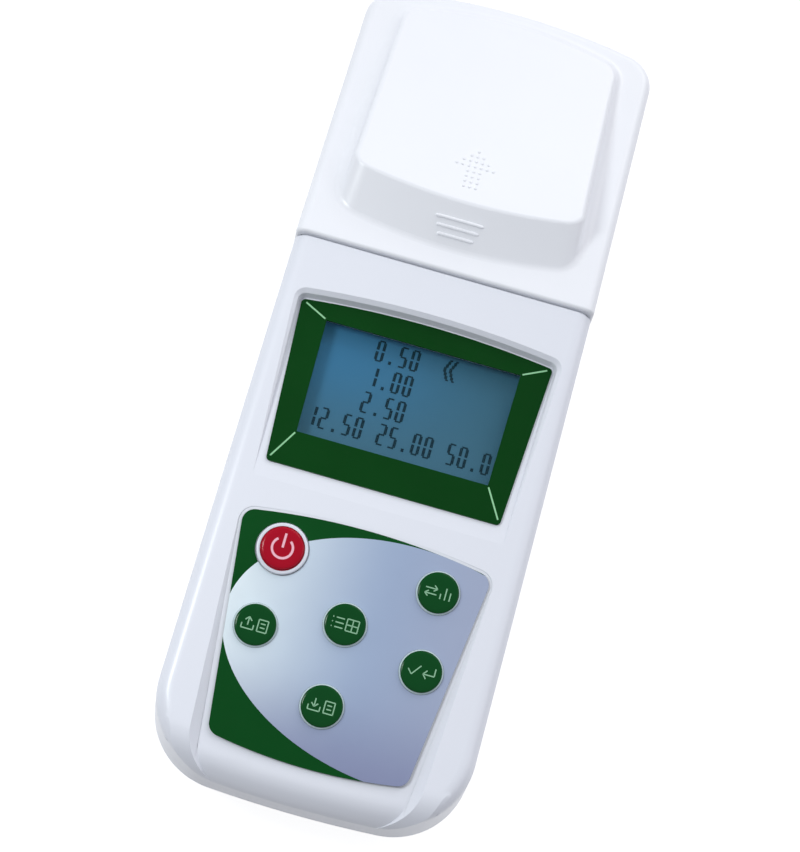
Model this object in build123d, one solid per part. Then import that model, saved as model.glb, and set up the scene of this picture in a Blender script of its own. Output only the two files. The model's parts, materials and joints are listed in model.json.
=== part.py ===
from build123d import *
from math import atan, cos, degrees, radians, sin, tan
import os

# A hand-held colorimeter lying on its back with the sample head towards +Y.
# Millimetres: X to the right, Z up, origin on the table under the middle of the case.

# Case
case_length = 223.0
case_width = 81.0
case_wall = 2.2
seam_height = 22.0
side_draft = 1.0
base_draft = 3.0
grip_rake = 15.0
grip_corner_radius = 20.0
grip_end_bulge = 2.5
shoulder_roll_radius = 11.0
pocket_roll_radius = 8.0
roll_fullness = 0.15
head_corner_radius = 10.0
head_end_bulge = 5.0
shoulder_fillet = 4.0
base_fillet = 6.0
seam_chamfer = 0.35
tongue_height = 1.4
tongue_thickness = 0.9
tongue_gap = 0.12
rebate_margin = 1.2

# Front face, which slopes down from the lid to the grip end
head_length = 84.0
shoulder_height = 56.0
shoulder_slope = 8.0
split_edge_radius = 0.7

# Sunken deck of the sample head
deck_drop = 9.5
ledge_height = 38.0
rail_wall = 3.3
rail_depth = 1.4
rail_height = 2.0
rail_above_ledge = 2.2

# Sliding lid
lid_front_gap = 0.3
lid_skirt_gap = 0.3
lid_side_wall = 1.8
lid_side_draft = 1.2
lid_side_gap = 0.4
lid_roof = 2.8
lid_rim_rise = 1.0
lid_rim_fillet = 2.6
lid_front_fillet = 0.8
lid_lip_reach = 1.5
lid_lip_height = 1.5
lid_lip_inset = 1.5
lid_lip_end = 12.0
plateau_rise = 7.0
plateau_sink = 5.5
plateau_front = 17.2
plateau_half_width = 31.0
plateau_taper = 1.8
plateau_bulge = 4.0
plateau_wall = 2.4
plateau_back_margin = 5.5
plateau_corner = 5.5
plateau_edge_radius = 1.5
plateau_foot_radius = 3.0
thumb_slope_length = 11.6
plateau_side_draft = 1.2

# Screen. A wall step is a share of the pocket's depth, how much wider it is, and its lean
screen_pocket_start = 15.4
screen_pocket_length = 49.3
screen_pocket_depth = 3.0
screen_pocket_margin = 0.5
screen_runout_margin = 1.9
screen_wall_steps = ((1.0, 0.0, 14.0), (0.4, 0.2, 50.0))
screen_wall = 3.2
screen_panel_top = 48.9
screen_panel_bottom = 4.4
screen_panel_top_half = 33.6
screen_panel_bottom_half = 30.5
screen_panel_bulge = 2.2
screen_panel_corner = 1.2
window_top = 45.0
window_bottom = 13.8
window_top_half = 25.9
window_bottom_half = 25.1
window_margin = 2.2
window_thickness = 1.5
window_ledge = 1.0
window_gap = 0.15
panel_thickness = 0.5

# Keypad. Rows are shares of the panel's length, counted from its middle
keypad_pocket_start = 70.2
keypad_pocket_depth = 3.0
keypad_pocket_margin = 0.7
keypad_pocket_flare = 1.2
keypad_wall_lean = 45.0
keypad_panel_start = 3.6
keypad_end_margin = 9.8
keypad_panel_top_half = 32.2
keypad_panel_bottom_half = 25.1
keypad_panel_top_bulge = 3.0
keypad_panel_bottom_bulge = 2.3
keypad_panel_corner = 3.2
key_side_margins = {"upper": 8.55, "middle": 7.45}
key_rows = {"upper": 0.368, "menu": 0.116, "middle": 0.006, "save": -0.261}
key_radius = 5.3
power_radius = 5.35
key_gap = 0.3
key_proud = 0.8
power_proud = 1.3
key_edge_radius = 0.35
key_flange_reach = 0.6
key_flange_height = 1.0
key_flange_gap = 0.2
key_stem_radius = 2.0
key_travel = 0.8
power_bezel_width = 0.85
power_bezel_proud = 0.9

# Circuit boards and what they carry
board_thickness = 1.6
board_corner = 2.0
switch_side = 6.0
switch_body_height = 3.5
switch_button_radius = 1.7
switch_button_height = 1.0
press_reserve = 0.1
post_radius = 2.6
board_screw_radius = 0.9
board_screw_head = 1.9
board_screw_head_height = 1.2
board_screw_grip = 2.5
screw_gap = 0.05
keypad_post_x = 10.4
keypad_post_rows = (0.24, -0.129)
keypad_board_inset = 3.0
screen_post_x = 31.4
screen_post_offset = 19.5
main_board_half_width = 34.2
main_board_half_length = 27.0
lcd_half_width = 28.0
lcd_length = 38.0
lcd_glass_thickness = 2.2
lcd_backlight_thickness = 3.4
backlight_corner = 1.0
lcd_gap = 0.3

# Sample well and its optics
well_from_split = 32.5
well_radius = 12.25
well_floor = 6.5
neck_radius = 15.4
neck_gap = 0.2
well_chamfer = 0.8
holder_half_width = 19.0
holder_corner = 3.0
holder_top_gap = 0.8
ear_reach = 25.0
ear_radius = 4.0
ear_thickness = 3.0
ear_height = 10.0
gasket_width = 3.2
collar_width = 3.6
collar_height = 1.2
collar_chamfer = 0.5
beam_height = 22.0
beam_radius = 2.2
beam_wall = 1.0
led_radius = 2.5
led_length = 5.6
led_flange = 0.45
led_flange_height = 1.0
detector_radius = 4.1
detector_length = 3.8
filter_thickness = 2.0
optic_gap = 0.05
optic_board_half_width = 9.0
optic_board_half_height = 9.0
holder_screw_radius = 1.25
holder_screw_head = 2.6
holder_screw_head_height = 1.8
holder_screw_length = 8.0

# Batteries and their door
battery_radius = 7.25
battery_length = 49.5
battery_edge = 0.6
battery_nub_radius = 2.7
battery_nub_length = 1.0
battery_pitch = 15.0
battery_gap = 0.3
battery_count = 3
bay_end_wall = 1.3
bay_end_gap = 1.3
bay_side_wall = 2.6
bay_roof = 1.6
contact_thickness = 0.5
contact_side = 9.0
contact_margin = 1.0
contact_leaf = 4.0
contact_spring = 1.6
door_width = 49.0
door_wall = 2.0
door_gap = 0.25
door_end_height = 9.0
door_lip_reach = 1.3
door_lip_height = 1.2
door_lip_lift = 0.6
door_lip_end = 2.0
door_grooves = 6
door_groove_start = 15.0
door_groove_pitch = 2.6
door_groove_radius = 0.8
door_groove_depth = 0.5

# Screws and feet. The grip feet stand at a share of the strip between the door and the side
grip_screw_margins = (8.0, 45.5)
head_screw_margins = (9.0, 28.5)
case_screw_radius = 1.5
case_screw_head = 2.8
case_screw_head_height = 2.2
case_screw_seat = 12.0
case_screw_length = 22.0
case_screw_reserve = 1.0
case_screw_play = 0.25
case_screw_edge = 0.8
case_boss_radius = 4.0
grip_foot_share = 0.3625
grip_foot_margin = 20.0
head_foot_margins = (11.0, 16.5)
foot_radius = 3.4
foot_height = 2.0
foot_edge = 0.6
foot_recess = 1.0
foot_gap = 0.1

# Chips and buzzer on the main board, placed from the middle of the screen
board_chips = {
    (-8.0, 4.0): (12.0, 12.0, 1.5),
    (12.0, 2.0): (8.0, 6.0, 1.6),
    (-22.0, -8.0): (5.0, 6.5, 1.6),
}
buzzer_place = (-22.0, 14.0)
buzzer_radius = 5.0
buzzer_height = 4.5

# Leads and their sockets
ribbon_width = 12.0
ribbon_thickness = 0.8
ribbon_bend = 2.4
ribbon_drop = 2.2
lead_radius = 1.1
lead_run = 9.0
lead_bend = 4.0
socket_wall = 1.0
socket_height = 2.6
socket_depth = 4.0
socket_from_edge = 5.0
sensor_socket = (6.0, 5.0, socket_height)
sensor_socket_x = 26.0

# Places worked out from the sizes above
half_width = case_width / 2
half_length = case_length / 2
back_height = foot_height
floor_height = back_height + case_wall
split_y = half_length - head_length
deck_height = shoulder_height - deck_drop
rim_height = shoulder_height + lid_rim_rise
head_inset = lid_side_wall + lid_side_gap
rail_bottom = ledge_height + rail_above_ledge
well_y = split_y + well_from_split

# How far a cut runs past the material, how deep two fused forms reach into each other,
# and how close an edge lies to the line it is looked for on
reach = 2 * case_length
pocket_reach = 10.0
overlap = 0.5
near = 0.01

screen_runout_y = split_y - screen_pocket_start - screen_pocket_length
keypad_start_y = split_y - keypad_pocket_start
keypad_pocket_length = keypad_start_y + half_length
keypad_panel_length = keypad_pocket_length - keypad_panel_start - keypad_end_margin
keypad_panel_half = (keypad_panel_top_half + keypad_panel_bottom_half) / 2
keypad_centre = -keypad_panel_start - keypad_panel_length / 2
window_centre = (window_top + window_bottom) / 2

stem_end = -case_wall - key_flange_gap - key_flange_height - key_travel
switch_top = stem_end - key_travel - press_reserve
keypad_board_top = switch_top - switch_button_height - switch_body_height
lcd_top = -screen_wall - lcd_gap
main_board_top = lcd_top - lcd_glass_thickness - lcd_backlight_thickness

door_half = door_width / 2
door_top = back_height + door_wall
battery_height = door_top + battery_gap + battery_radius
bay_roof_height = battery_height + battery_radius + battery_gap
grip_undercut = (seam_height - back_height) * tan(radians(grip_rake))
bay_grip_y = -half_length + grip_undercut + case_wall + bay_end_gap + bay_end_wall
contact_room = contact_thickness + contact_spring
bay_length = battery_length + battery_nub_length + 2 * contact_room
bay_head_y = bay_grip_y + bay_length
door_head_y = bay_head_y + bay_end_wall

case_screw_places = (
    (half_width - grip_screw_margins[0], grip_screw_margins[1] - half_length),
    (half_width - head_screw_margins[0], half_length - head_screw_margins[1]),
)
foot_places = (
    (door_half + grip_foot_share * (half_width - door_half), grip_foot_margin - half_length),
    (half_width - head_foot_margins[0], half_length - head_foot_margins[1]),
)


def shoulder_z(y):
    """Height of the sloping shoulder face at a place along the case."""
    return shoulder_height + (y - split_y) * tan(radians(shoulder_slope))


def sloped_plane(y, z, slope):
    """A plane that rises towards the head by slope degrees."""
    lean = radians(slope)
    return Plane(origin=(0, y, z), x_dir=(1, 0, 0), z_dir=(0, -sin(lean), cos(lean)))


def wedge_plane(y, depth, length):
    """A plane that leaves the sloping face at y and is depth below it after length."""
    return sloped_plane(y, shoulder_z(y), shoulder_slope - degrees(atan(depth / length)))


shoulder_plane = sloped_plane(split_y, shoulder_height, shoulder_slope)
screen_plane = wedge_plane(screen_runout_y, screen_pocket_depth, screen_pocket_length)
keypad_plane = wedge_plane(keypad_start_y, keypad_pocket_depth, -keypad_pocket_length)


def above(plane):
    """All the space on the upper side of a plane."""
    return plane * Box(reach, reach, reach, align=(Align.CENTER, Align.CENTER, Align.MIN))


def block(x0, x1, y0, y1, z0, z1):
    """A box given by its limits."""
    centre = ((x0 + x1) / 2, (y0 + y1) / 2, (z0 + z1) / 2)
    return Pos(*centre) * Box(x1 - x0, y1 - y0, z1 - z0)


def headward(y, z0=-reach, z1=reach):
    """The space on the head side of y, between two heights."""
    return block(-reach, reach, y, reach, z0, z1)


def rod(radius, x, y, z0, z1):
    """An upright cylinder between two heights."""
    return Pos(x, y, z0) * Cylinder(radius, z1 - z0, align=(Align.CENTER, Align.CENTER, Align.MIN))


def both_sides(places):
    """The places given for the right side, and their mirror images on the left."""
    return [(side * x, y) for x, y in places for side in (1, -1)]


def case_outline(inset=0.0, undercut=0.0):
    """Plan of the case: straight sides, gently bowed ends and round corners."""
    half = half_width - inset
    grip_y = inset + undercut - half_length
    head_y = half_length - inset
    grip_side = grip_y + grip_end_bulge
    head_side = head_y - head_end_bulge
    edges = [
        Line((half, grip_side), (half, head_side)),
        ThreePointArc((half, head_side), (0, head_y), (-half, head_side)),
        Line((-half, head_side), (-half, grip_side)),
        ThreePointArc((-half, grip_side), (0, grip_y), (half, grip_side)),
    ]
    plan = make_face(edges)
    plan = fillet(plan.vertices().sort_by(Axis.Y)[:2], grip_corner_radius - inset)
    return fillet(plan.vertices().sort_by(Axis.Y)[-2:], head_corner_radius - inset)


def case_prism(inset, z0, z1, taper=0.0):
    """The case outline extruded between two heights, narrowing by taper degrees."""
    plan = Plane.XY.offset(z0) * case_outline(inset)
    return extrude(plan, amount=z1 - z0, dir=(0, 0, 1), taper=taper)


def bowed_panel(bottom_half, top_half, bottom, top, bottom_bulge, top_bulge, corner, grow=0.0):
    """A tapering panel with bowed ends and round corners, drawn in its own plane."""
    low = bottom - grow
    high = top + grow
    right_low = (bottom_half + grow, low)
    right_high = (top_half + grow, high)
    left_low = (-bottom_half - grow, low)
    left_high = (-top_half - grow, high)
    edges = [
        Line(right_low, right_high),
        ThreePointArc(right_high, (0, high + top_bulge), left_high),
        Line(left_high, left_low),
    ]
    if bottom_bulge > 0:
        edges.append(ThreePointArc(left_low, (0, low - bottom_bulge), right_low))
    else:
        edges.append(Line(left_low, right_low))
    return fillet(make_face(edges).vertices(), corner + grow)


def slab(plane, outline, low, high, taper=0.0):
    """An outline extruded square to its plane, from low to high."""
    return extrude(plane.offset(low) * outline, amount=high - low, dir=plane.z_dir, taper=taper)


def screen_outline(grow=0.0):
    """Outline of the printed panel round the screen."""
    return bowed_panel(
        screen_panel_bottom_half, screen_panel_top_half, screen_panel_bottom,
        screen_panel_top, 0.0, screen_panel_bulge, screen_panel_corner, grow,
    )


def screen_pocket_outline(grow=0.0, widening=0.0):
    """Outline of the recess round the screen, carried past the line where it runs out."""
    margin = screen_pocket_margin + widening
    return bowed_panel(
        screen_panel_bottom_half + screen_runout_margin, screen_panel_top_half + margin,
        -screen_panel_bottom, screen_panel_top + margin,
        0.0, screen_panel_bulge, screen_panel_corner + margin, grow,
    )


def window_outline(grow=0.0):
    """Outline of the clear window, a little narrower at its lower edge."""
    low = window_bottom - grow
    high = window_top + grow
    corners = [
        (window_bottom_half + grow, low),
        (window_top_half + grow, high),
        (-window_top_half - grow, high),
        (-window_bottom_half - grow, low),
    ]
    return make_face(Polyline(corners, close=True))


def keypad_outline(grow=0.0):
    """Outline of the printed keypad panel."""
    return bowed_panel(
        keypad_panel_bottom_half, keypad_panel_top_half,
        -keypad_panel_start - keypad_panel_length, -keypad_panel_start,
        keypad_panel_bottom_bulge, keypad_panel_top_bulge, keypad_panel_corner, grow,
    )


def key_places():
    """Name, place in the keypad plane and radius of every key."""
    rows = {name: keypad_centre + row * keypad_panel_length for name, row in key_rows.items()}
    columns = {name: keypad_panel_half - margin for name, margin in key_side_margins.items()}
    return {
        "power_button": (-columns["upper"], rows["upper"], power_radius),
        "toggle_key": (columns["upper"], rows["upper"], key_radius),
        "recall_key": (-columns["middle"], rows["middle"], key_radius),
        "enter_key": (columns["middle"], rows["middle"], key_radius),
        "menu_key": (0.0, rows["menu"], key_radius),
        "save_key": (0.0, rows["save"], key_radius),
    }


def keypad_posts():
    """Places of the four board posts, in the keypad plane."""
    rows = [keypad_centre + row * keypad_panel_length for row in keypad_post_rows]
    return both_sides([(keypad_post_x, row) for row in rows])


def screen_posts():
    """Places of the four board posts, in the screen plane."""
    rows = (window_centre + screen_post_offset, window_centre - screen_post_offset)
    return both_sides([(screen_post_x, row) for row in rows])


def plane_rods(plane, places, radius, low, high):
    """Cylinders square to a plane, at places in that plane."""
    height = high - low
    shape = Cylinder(radius, height, align=(Align.CENTER, Align.CENTER, Align.MIN))
    return [plane.offset(low) * Pos(x, v, 0) * shape for x, v in places]


def upper_block():
    """Outside of the upper case: drafted sides, sloping face and sunken head."""
    body = case_prism(0.0, seam_height, shoulder_height, side_draft)
    body -= above(shoulder_plane)
    body -= headward(split_y, ledge_height)
    rim = body.faces().filter_by(shoulder_plane)[0].edges()
    body = fillet([edge for edge in rim if edge.center().Y < split_y - overlap], shoulder_fillet)
    body -= grip_roll(shoulder_plane, shoulder_roll_radius)
    neck = case_prism(head_inset, ledge_height - case_wall, deck_height)
    return body + (neck & headward(split_y - case_wall))


def upper_cavity():
    """Inside of the upper case, following its outside one wall in."""
    cavity = case_prism(case_wall, seam_height - overlap, shoulder_height, side_draft)
    cavity -= above(shoulder_plane.offset(-case_wall))
    cavity -= headward(split_y - case_wall, ledge_height - case_wall)
    head = case_prism(head_inset + rail_wall, seam_height, deck_height - case_wall)
    cavity += head & headward(split_y)
    cavity -= slab(screen_plane, screen_pocket_outline(case_wall), -screen_wall, shoulder_height)
    under_keys = Pos(0, -keypad_pocket_length) * Rectangle(case_width, 2 * keypad_pocket_length)
    cavity -= slab(keypad_plane, under_keys, -case_wall, shoulder_height)
    return cavity - grip_corner()


def grip_corner():
    """The corner over a flat that keeps the wall thick under the rolled grip end."""
    lean = degrees(atan(keypad_plane.z_dir.Z / -keypad_plane.z_dir.Y)) / 2
    flat = Plane(
        origin=(0, pocket_roll_radius - half_length, roll_centre(keypad_plane, pocket_roll_radius)),
        x_dir=(1, 0, 0), z_dir=(0, -cos(radians(lean)), sin(radians(lean))),
    )
    return above(flat.offset(pocket_roll_radius - case_wall))


def screen_pocket():
    """Wedge-shaped recess round the screen, deepest at its head end, with a soft rim."""
    steps = []
    for share, widening, lean in screen_wall_steps:
        floor = wedge_plane(screen_runout_y, share * screen_pocket_depth, screen_pocket_length)
        steps.append(slab(floor, screen_pocket_outline(0.0, widening), 0, pocket_reach, -lean))
    return steps[0] + steps[1:]


def keypad_pocket():
    """Wedge-shaped recess round the keys, which rolls down over the grip end."""
    top = -keypad_panel_start
    length = keypad_pocket_length + pocket_reach
    outline = bowed_panel(
        keypad_panel_top_half - pocket_slant() * length, keypad_panel_top_half, top - length, top,
        0.0, keypad_panel_top_bulge, keypad_panel_corner, keypad_pocket_margin,
    )
    pocket = slab(keypad_plane, outline, 0, pocket_reach, -keypad_wall_lean)
    return pocket + (grip_roll(keypad_plane, pocket_roll_radius) & pocket_end())


def pocket_slant():
    """How much each side of the keypad pocket closes in over its length."""
    narrowing = keypad_panel_top_half - keypad_panel_bottom_half - keypad_pocket_flare
    return narrowing / keypad_panel_length


def pocket_end():
    """The space between the keypad pocket's side walls, carried on below its floor."""
    slant = pocket_slant()
    wall = pocket_reach * tan(radians(keypad_wall_lean)) / cos(atan(slant))
    high_half = keypad_panel_top_half + keypad_pocket_margin - wall
    low = -2 * keypad_pocket_length
    low_half = high_half - slant * (-keypad_panel_start - low)
    corners = [
        (low_half, low),
        (high_half, -keypad_panel_start),
        (-high_half, -keypad_panel_start),
        (-low_half, low),
    ]
    plan = make_face(Polyline(corners, close=True))
    return slab(keypad_plane, plan, -pocket_reach, pocket_reach, -keypad_wall_lean)


def roll_centre(plane, radius):
    """Height of the middle of a round edge between a sloping plane and the grip end."""
    origin = plane.origin
    lean = plane.z_dir
    rise = (radius - half_length - origin.Y) * -lean.Y / lean.Z
    return origin.Z + rise - radius / lean.Z


def grip_roll(plane, radius):
    """The space outside a round edge between a sloping plane and the grip end."""
    middle_y = radius - half_length
    middle_z = roll_centre(plane, radius)
    lean = plane.z_dir
    half_turn = atan(lean.Z / -lean.Y) / 2
    full = radius + roll_fullness
    start = (middle_y + radius * lean.Y, middle_z + radius * lean.Z)
    between = (middle_y - full * cos(half_turn), middle_z + full * sin(half_turn))
    end = (-half_length, middle_z)
    outside = end[0] - pocket_reach
    edges = [
        ThreePointArc(start, between, end),
        Polyline(end, (outside, end[1]), (outside, shoulder_height), (start[0], shoulder_height), start),
    ]
    profile = Plane.YZ * make_face(edges)
    bow = (half_width ** 2 + grip_end_bulge ** 2) / (2 * grip_end_bulge)
    axis = Axis((0, bow - half_length, 0), (0, 0, 1))
    sweep_angle = 2 * degrees(atan((half_width + overlap) / bow))
    turned = profile.rotate(axis, -sweep_angle / 2)
    return revolve(turned, axis, sweep_angle)


def rail_grooves():
    """Grooves along both sides of the head, in which the lid slides."""
    outside = half_width - head_inset + overlap
    inside = half_width - head_inset - rail_depth
    right = block(inside, outside, split_y, reach, rail_bottom, rail_bottom + rail_height)
    return right + mirror(right, about=Plane.YZ)


def seam_rim(shell):
    """Edges of one case half that lie on the outside of the seam."""
    outline = Plane.XY.offset(seam_height) * case_outline().wire()
    return [edge for edge in shell.edges() if outline.distance_to(edge.position_at(0.5)) < near]


def upper_shell():
    """Upper half of the case, with the pockets, key holes, posts and bosses."""
    shell = upper_block()
    outside = shell
    shell -= screen_pocket()
    shell -= keypad_pocket()
    front = [e for e in shell.edges().filter_by(Axis.X) if abs(e.center().Y - split_y) < near]
    shell = fillet(ShapeList(front).sort_by(Axis.Z)[-1:], split_edge_radius)
    shell -= upper_cavity()
    bosses = [
        rod(case_boss_radius, x, y, seam_height, shoulder_height) & outside
        for x, y in both_sides(case_screw_places)
    ]
    pockets = screen_pocket() + keypad_pocket()
    shell += [boss - pockets for boss in bosses]
    shell += plane_rods(
        screen_plane, screen_posts(), post_radius, main_board_top, overlap - screen_wall
    )
    shell += plane_rods(
        keypad_plane, keypad_posts(), post_radius, keypad_board_top, overlap - case_wall
    )
    pilot = board_screw_radius + screw_gap
    shell -= plane_rods(screen_plane, screen_posts(), pilot, main_board_top, -screen_wall)
    shell -= plane_rods(keypad_plane, keypad_posts(), pilot, keypad_board_top, -case_wall)
    screw_top = case_screw_seat + case_screw_length + case_screw_reserve
    pilot = case_screw_radius + screw_gap
    shell -= [rod(pilot, x, y, floor_height, screw_top) for x, y in both_sides(case_screw_places)]
    shell -= slab(
        screen_plane, window_outline(window_margin + window_gap), -window_thickness, pocket_reach
    )
    shell -= slab(
        screen_plane, window_outline(window_margin - window_ledge), -2 * screen_wall, pocket_reach
    )
    for x, v, radius in key_places().values():
        shell -= plane_rods(keypad_plane, [(x, v)], radius + key_gap, -2 * case_wall, case_wall)
    shell -= rail_grooves()
    shell -= rod(neck_radius + neck_gap, 0, well_y, ledge_height, shoulder_height)
    lip = tongue_height + tongue_gap
    tongue_outside = case_wall - tongue_thickness - tongue_gap
    rebate = case_prism(tongue_outside, seam_height, seam_height + lip)
    rebate -= case_prism(case_wall + rebate_margin, seam_height, seam_height + lip)
    shell -= rebate
    return chamfer(seam_rim(shell), seam_chamfer)


def lower_block(inset=0.0):
    """Outside of the lower case, or the same form one inset further in."""
    depth = seam_height - back_height - inset
    drawn_in = depth * tan(radians(base_draft))
    undercut = depth * tan(radians(grip_rake)) - drawn_in
    base = Plane.XY.offset(seam_height - depth) * case_outline(inset + drawn_in, undercut)
    tub = loft([base, Plane.XY.offset(seam_height) * case_outline(inset)], ruled=True)
    return fillet(tub.faces().sort_by(Axis.Z)[0].edges(), base_fillet - inset)


def seam_bevel():
    """The space that a small bevel takes off the lower half along the seam."""
    low = seam_height - seam_chamfer
    around = block(-case_width, case_width, -case_length, case_length, low, seam_height)
    return around - case_prism(0.0, low, seam_height, 45)


def door_opening(gap=0.0):
    """The space that the battery door takes up in the back and the grip end."""
    side = door_half + gap
    top = back_height + door_end_height + gap
    return block(-side, side, -reach, door_head_y + gap, 0, top)


def battery_bay():
    """Walls and roof round the batteries, moulded inside the lower case."""
    side = door_half + door_gap + bay_side_wall
    grip = bay_grip_y - bay_end_wall
    head = door_head_y + door_gap + bay_end_wall
    roof = bay_roof_height + bay_roof
    bay = block(-side, side, grip, head, floor_height - overlap, roof)
    room = door_half + door_gap
    bay -= block(-room, room, bay_grip_y, bay_head_y, 0, bay_roof_height)
    bay -= block(-room, room, grip, head - bay_end_wall, 0, door_top + door_gap)
    bay -= block(-room, room, grip, bay_grip_y, 0, door_top + base_fillet / 2)
    return bay


def door_lips(gap=0.0):
    """The strips along both sides of the door, or the slots they slide in."""
    root = door_half - door_wall
    edge = door_half + door_lip_reach + gap
    low = door_top + door_lip_lift
    end = bay_head_y - door_lip_end
    lip = block(root, edge, -reach, end + gap, low - gap, low + door_lip_height + gap)
    lip += block(root, door_half, -reach, end, door_top - door_wall / 2, low + door_lip_height)
    return lip + mirror(lip, about=Plane.YZ)


def lower_shell():
    """Lower half of the case, with the battery bay, screw bosses and foot recesses."""
    outside = lower_block()
    shell = outside - lower_block(case_wall)
    tongue_foot = seam_height - tongue_height
    shell += case_prism(case_wall - tongue_thickness, tongue_foot, seam_height + tongue_height)
    shell -= case_prism(case_wall, tongue_foot - overlap, seam_height + 2 * tongue_height)
    shell += [
        rod(case_boss_radius, x, y, floor_height - overlap, seam_height)
        for x, y in both_sides(case_screw_places)
    ]
    shell += [
        rod(ear_radius, side * ear_reach, well_y, floor_height - overlap, ear_height)
        for side in (1, -1)
    ]
    shell -= door_opening(door_gap)
    shell += battery_bay() & outside
    shell -= door_lips(door_gap)
    pilot = holder_screw_radius + screw_gap
    bottom = ear_height + ear_thickness - holder_screw_length - overlap
    shell -= [rod(pilot, side * ear_reach, well_y, bottom, ear_height) for side in (1, -1)]
    for x, y in both_sides(case_screw_places):
        shell -= rod(case_screw_head + case_screw_play, x, y, 0, case_screw_seat)
        shell -= rod(case_screw_radius + case_screw_play, x, y, 0, shoulder_height)
    for x, y in both_sides(foot_places):
        shell -= rod(foot_radius + foot_gap, x, y, 0, back_height + foot_recess)
    return shell - seam_bevel()


def plateau_outline(front, half, inset=0.0):
    """Plan of the raised middle of the lid, with its bowed front edge."""
    near = split_y + front + inset
    far = half_length - plateau_back_margin - inset
    wide = half - inset
    slim = wide - plateau_taper
    corner_y = near + plateau_bulge
    edges = [
        ThreePointArc((-wide, corner_y), (0, near), (wide, corner_y)),
        Line((wide, corner_y), (slim, far - head_end_bulge)),
        ThreePointArc((slim, far - head_end_bulge), (0, far), (-slim, far - head_end_bulge)),
        Line((-slim, far - head_end_bulge), (-wide, corner_y)),
    ]
    return fillet(make_face(edges).vertices(), plateau_corner)


def plateau(inset=0.0, base=0.0):
    """Raised middle of the lid: a thumb slope at the front, sinking towards the head."""
    top = rim_height + plateau_rise - inset
    foot = rim_height - base
    lower = plateau_outline(
        plateau_front - thumb_slope_length, plateau_half_width + plateau_side_draft, inset
    )
    upper = plateau_outline(plateau_front, plateau_half_width, inset)
    form = loft([Plane.XY.offset(foot) * lower, Plane.XY.offset(top) * upper], ruled=True)
    length = case_length / 2 - plateau_back_margin - split_y - plateau_front
    sink = -degrees(atan(plateau_sink / length))
    return form - above(sloped_plane(split_y + plateau_front, top, sink))


def lid_front_rim(lid):
    """Edges over the lid's front end, from one rounded side across to the other."""
    front = lid.faces().sort_by(Axis.Y)[0]
    return [edge for edge in front.edges() if edge.center().Z > rim_height - lid_rim_fillet]


def plateau_foot(lid):
    """Edges where the raised middle of the lid stands on the flat rim."""
    rim = lid.faces().filter_by(Axis.Z).sort_by(Axis.Z)[-1]
    return rim.inner_wires()[0].edges()


def sliding_lid():
    """Cover over the sample head, which slides off towards +Y on its two lips."""
    skirt = ledge_height + lid_skirt_gap
    front = split_y + lid_front_gap
    roof = rim_height - lid_roof
    lid = case_prism(0.0, skirt, rim_height, lid_side_draft) & headward(front)
    rim = lid.faces().sort_by(Axis.Z)[-1].edges()
    lid = fillet([edge for edge in rim if edge.center().Y > front + overlap], lid_rim_fillet)
    lid = fillet(lid_front_rim(lid), lid_front_fillet)
    raised = plateau(0.0, overlap)
    crown = raised.faces().sort_by(Axis.Z)[-1].edges()
    lid += fillet(crown, plateau_edge_radius)
    lid = fillet(plateau_foot(lid), plateau_foot_radius)
    lid -= case_prism(lid_side_wall, skirt - overlap, roof) & headward(front - overlap)
    lid -= plateau(plateau_wall, lid_roof + overlap)
    inside = half_width - lid_side_wall
    low = rail_bottom + (rail_height - lid_lip_height) / 2
    start = front + lid_lip_inset
    end = half_length - lid_lip_end
    lip = block(inside - lid_lip_reach, inside + overlap, start, end, low, low + lid_lip_height)
    return lid + [lip, mirror(lip, about=Plane.YZ)]


def screen_overlay():
    """Printed panel that frames the screen."""
    panel = slab(screen_plane, screen_outline(), 0, panel_thickness)
    return panel - slab(screen_plane, window_outline(), -overlap, panel_thickness + overlap)


def screen_window():
    """Clear window let into the case under the printed panel."""
    return slab(screen_plane, window_outline(window_margin), -window_thickness, 0)


def keypad_overlay():
    """Printed panel with a hole for every key."""
    panel = slab(keypad_plane, keypad_outline(), 0, panel_thickness)
    for name, (x, v, radius) in key_places().items():
        ring = power_bezel_width + key_gap if name == "power_button" else 0.0
        hole = radius + key_gap + ring
        panel -= plane_rods(keypad_plane, [(x, v)], hole, -overlap, panel_thickness + overlap)
    return panel


def power_bezel():
    """Raised ring round the power button, standing on the case."""
    x, v, radius = key_places()["power_button"]
    inner = radius + key_gap
    outer = inner + power_bezel_width
    top = panel_thickness + power_bezel_proud
    ring = Cylinder(outer, top, align=(Align.CENTER, Align.CENTER, Align.MIN))
    ring = fillet(ring.edges().sort_by(Axis.Z)[-1], power_bezel_width / 2)
    ring -= Cylinder(inner, 3 * top)
    return keypad_plane * Pos(x, v, 0) * ring


def key(name):
    """Round key with a soft edge, a flange under the case and a stem to its switch."""
    x, v, radius = key_places()[name]
    proud = power_proud if name == "power_button" else key_proud
    flange_top = -case_wall - key_flange_gap
    flange_low = flange_top - key_flange_height
    upright = (Align.CENTER, Align.CENTER, Align.MIN)
    cap = Pos(0, 0, flange_low) * Cylinder(radius, panel_thickness + proud - flange_low, align=upright)
    cap = fillet(cap.edges().sort_by(Axis.Z)[-1], key_edge_radius)
    cap += Pos(0, 0, flange_low) * Cylinder(radius + key_flange_reach, key_flange_height, align=upright)
    cap += Pos(0, 0, stem_end) * Cylinder(key_stem_radius, flange_low - stem_end, align=upright)
    return keypad_plane * Pos(x, v, 0) * cap


def key_switches():
    """Six push switches on the keypad board, one under each key."""
    switches = []
    body_top = switch_top - switch_button_height
    side = switch_side / 2
    for x, v, _ in key_places().values():
        body = block(-side, side, -side, side, keypad_board_top, body_top)
        body += rod(switch_button_radius, 0, 0, body_top, switch_top)
        switches.append(keypad_plane * Pos(x, v, 0) * body)
    return Compound(switches)


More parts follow.
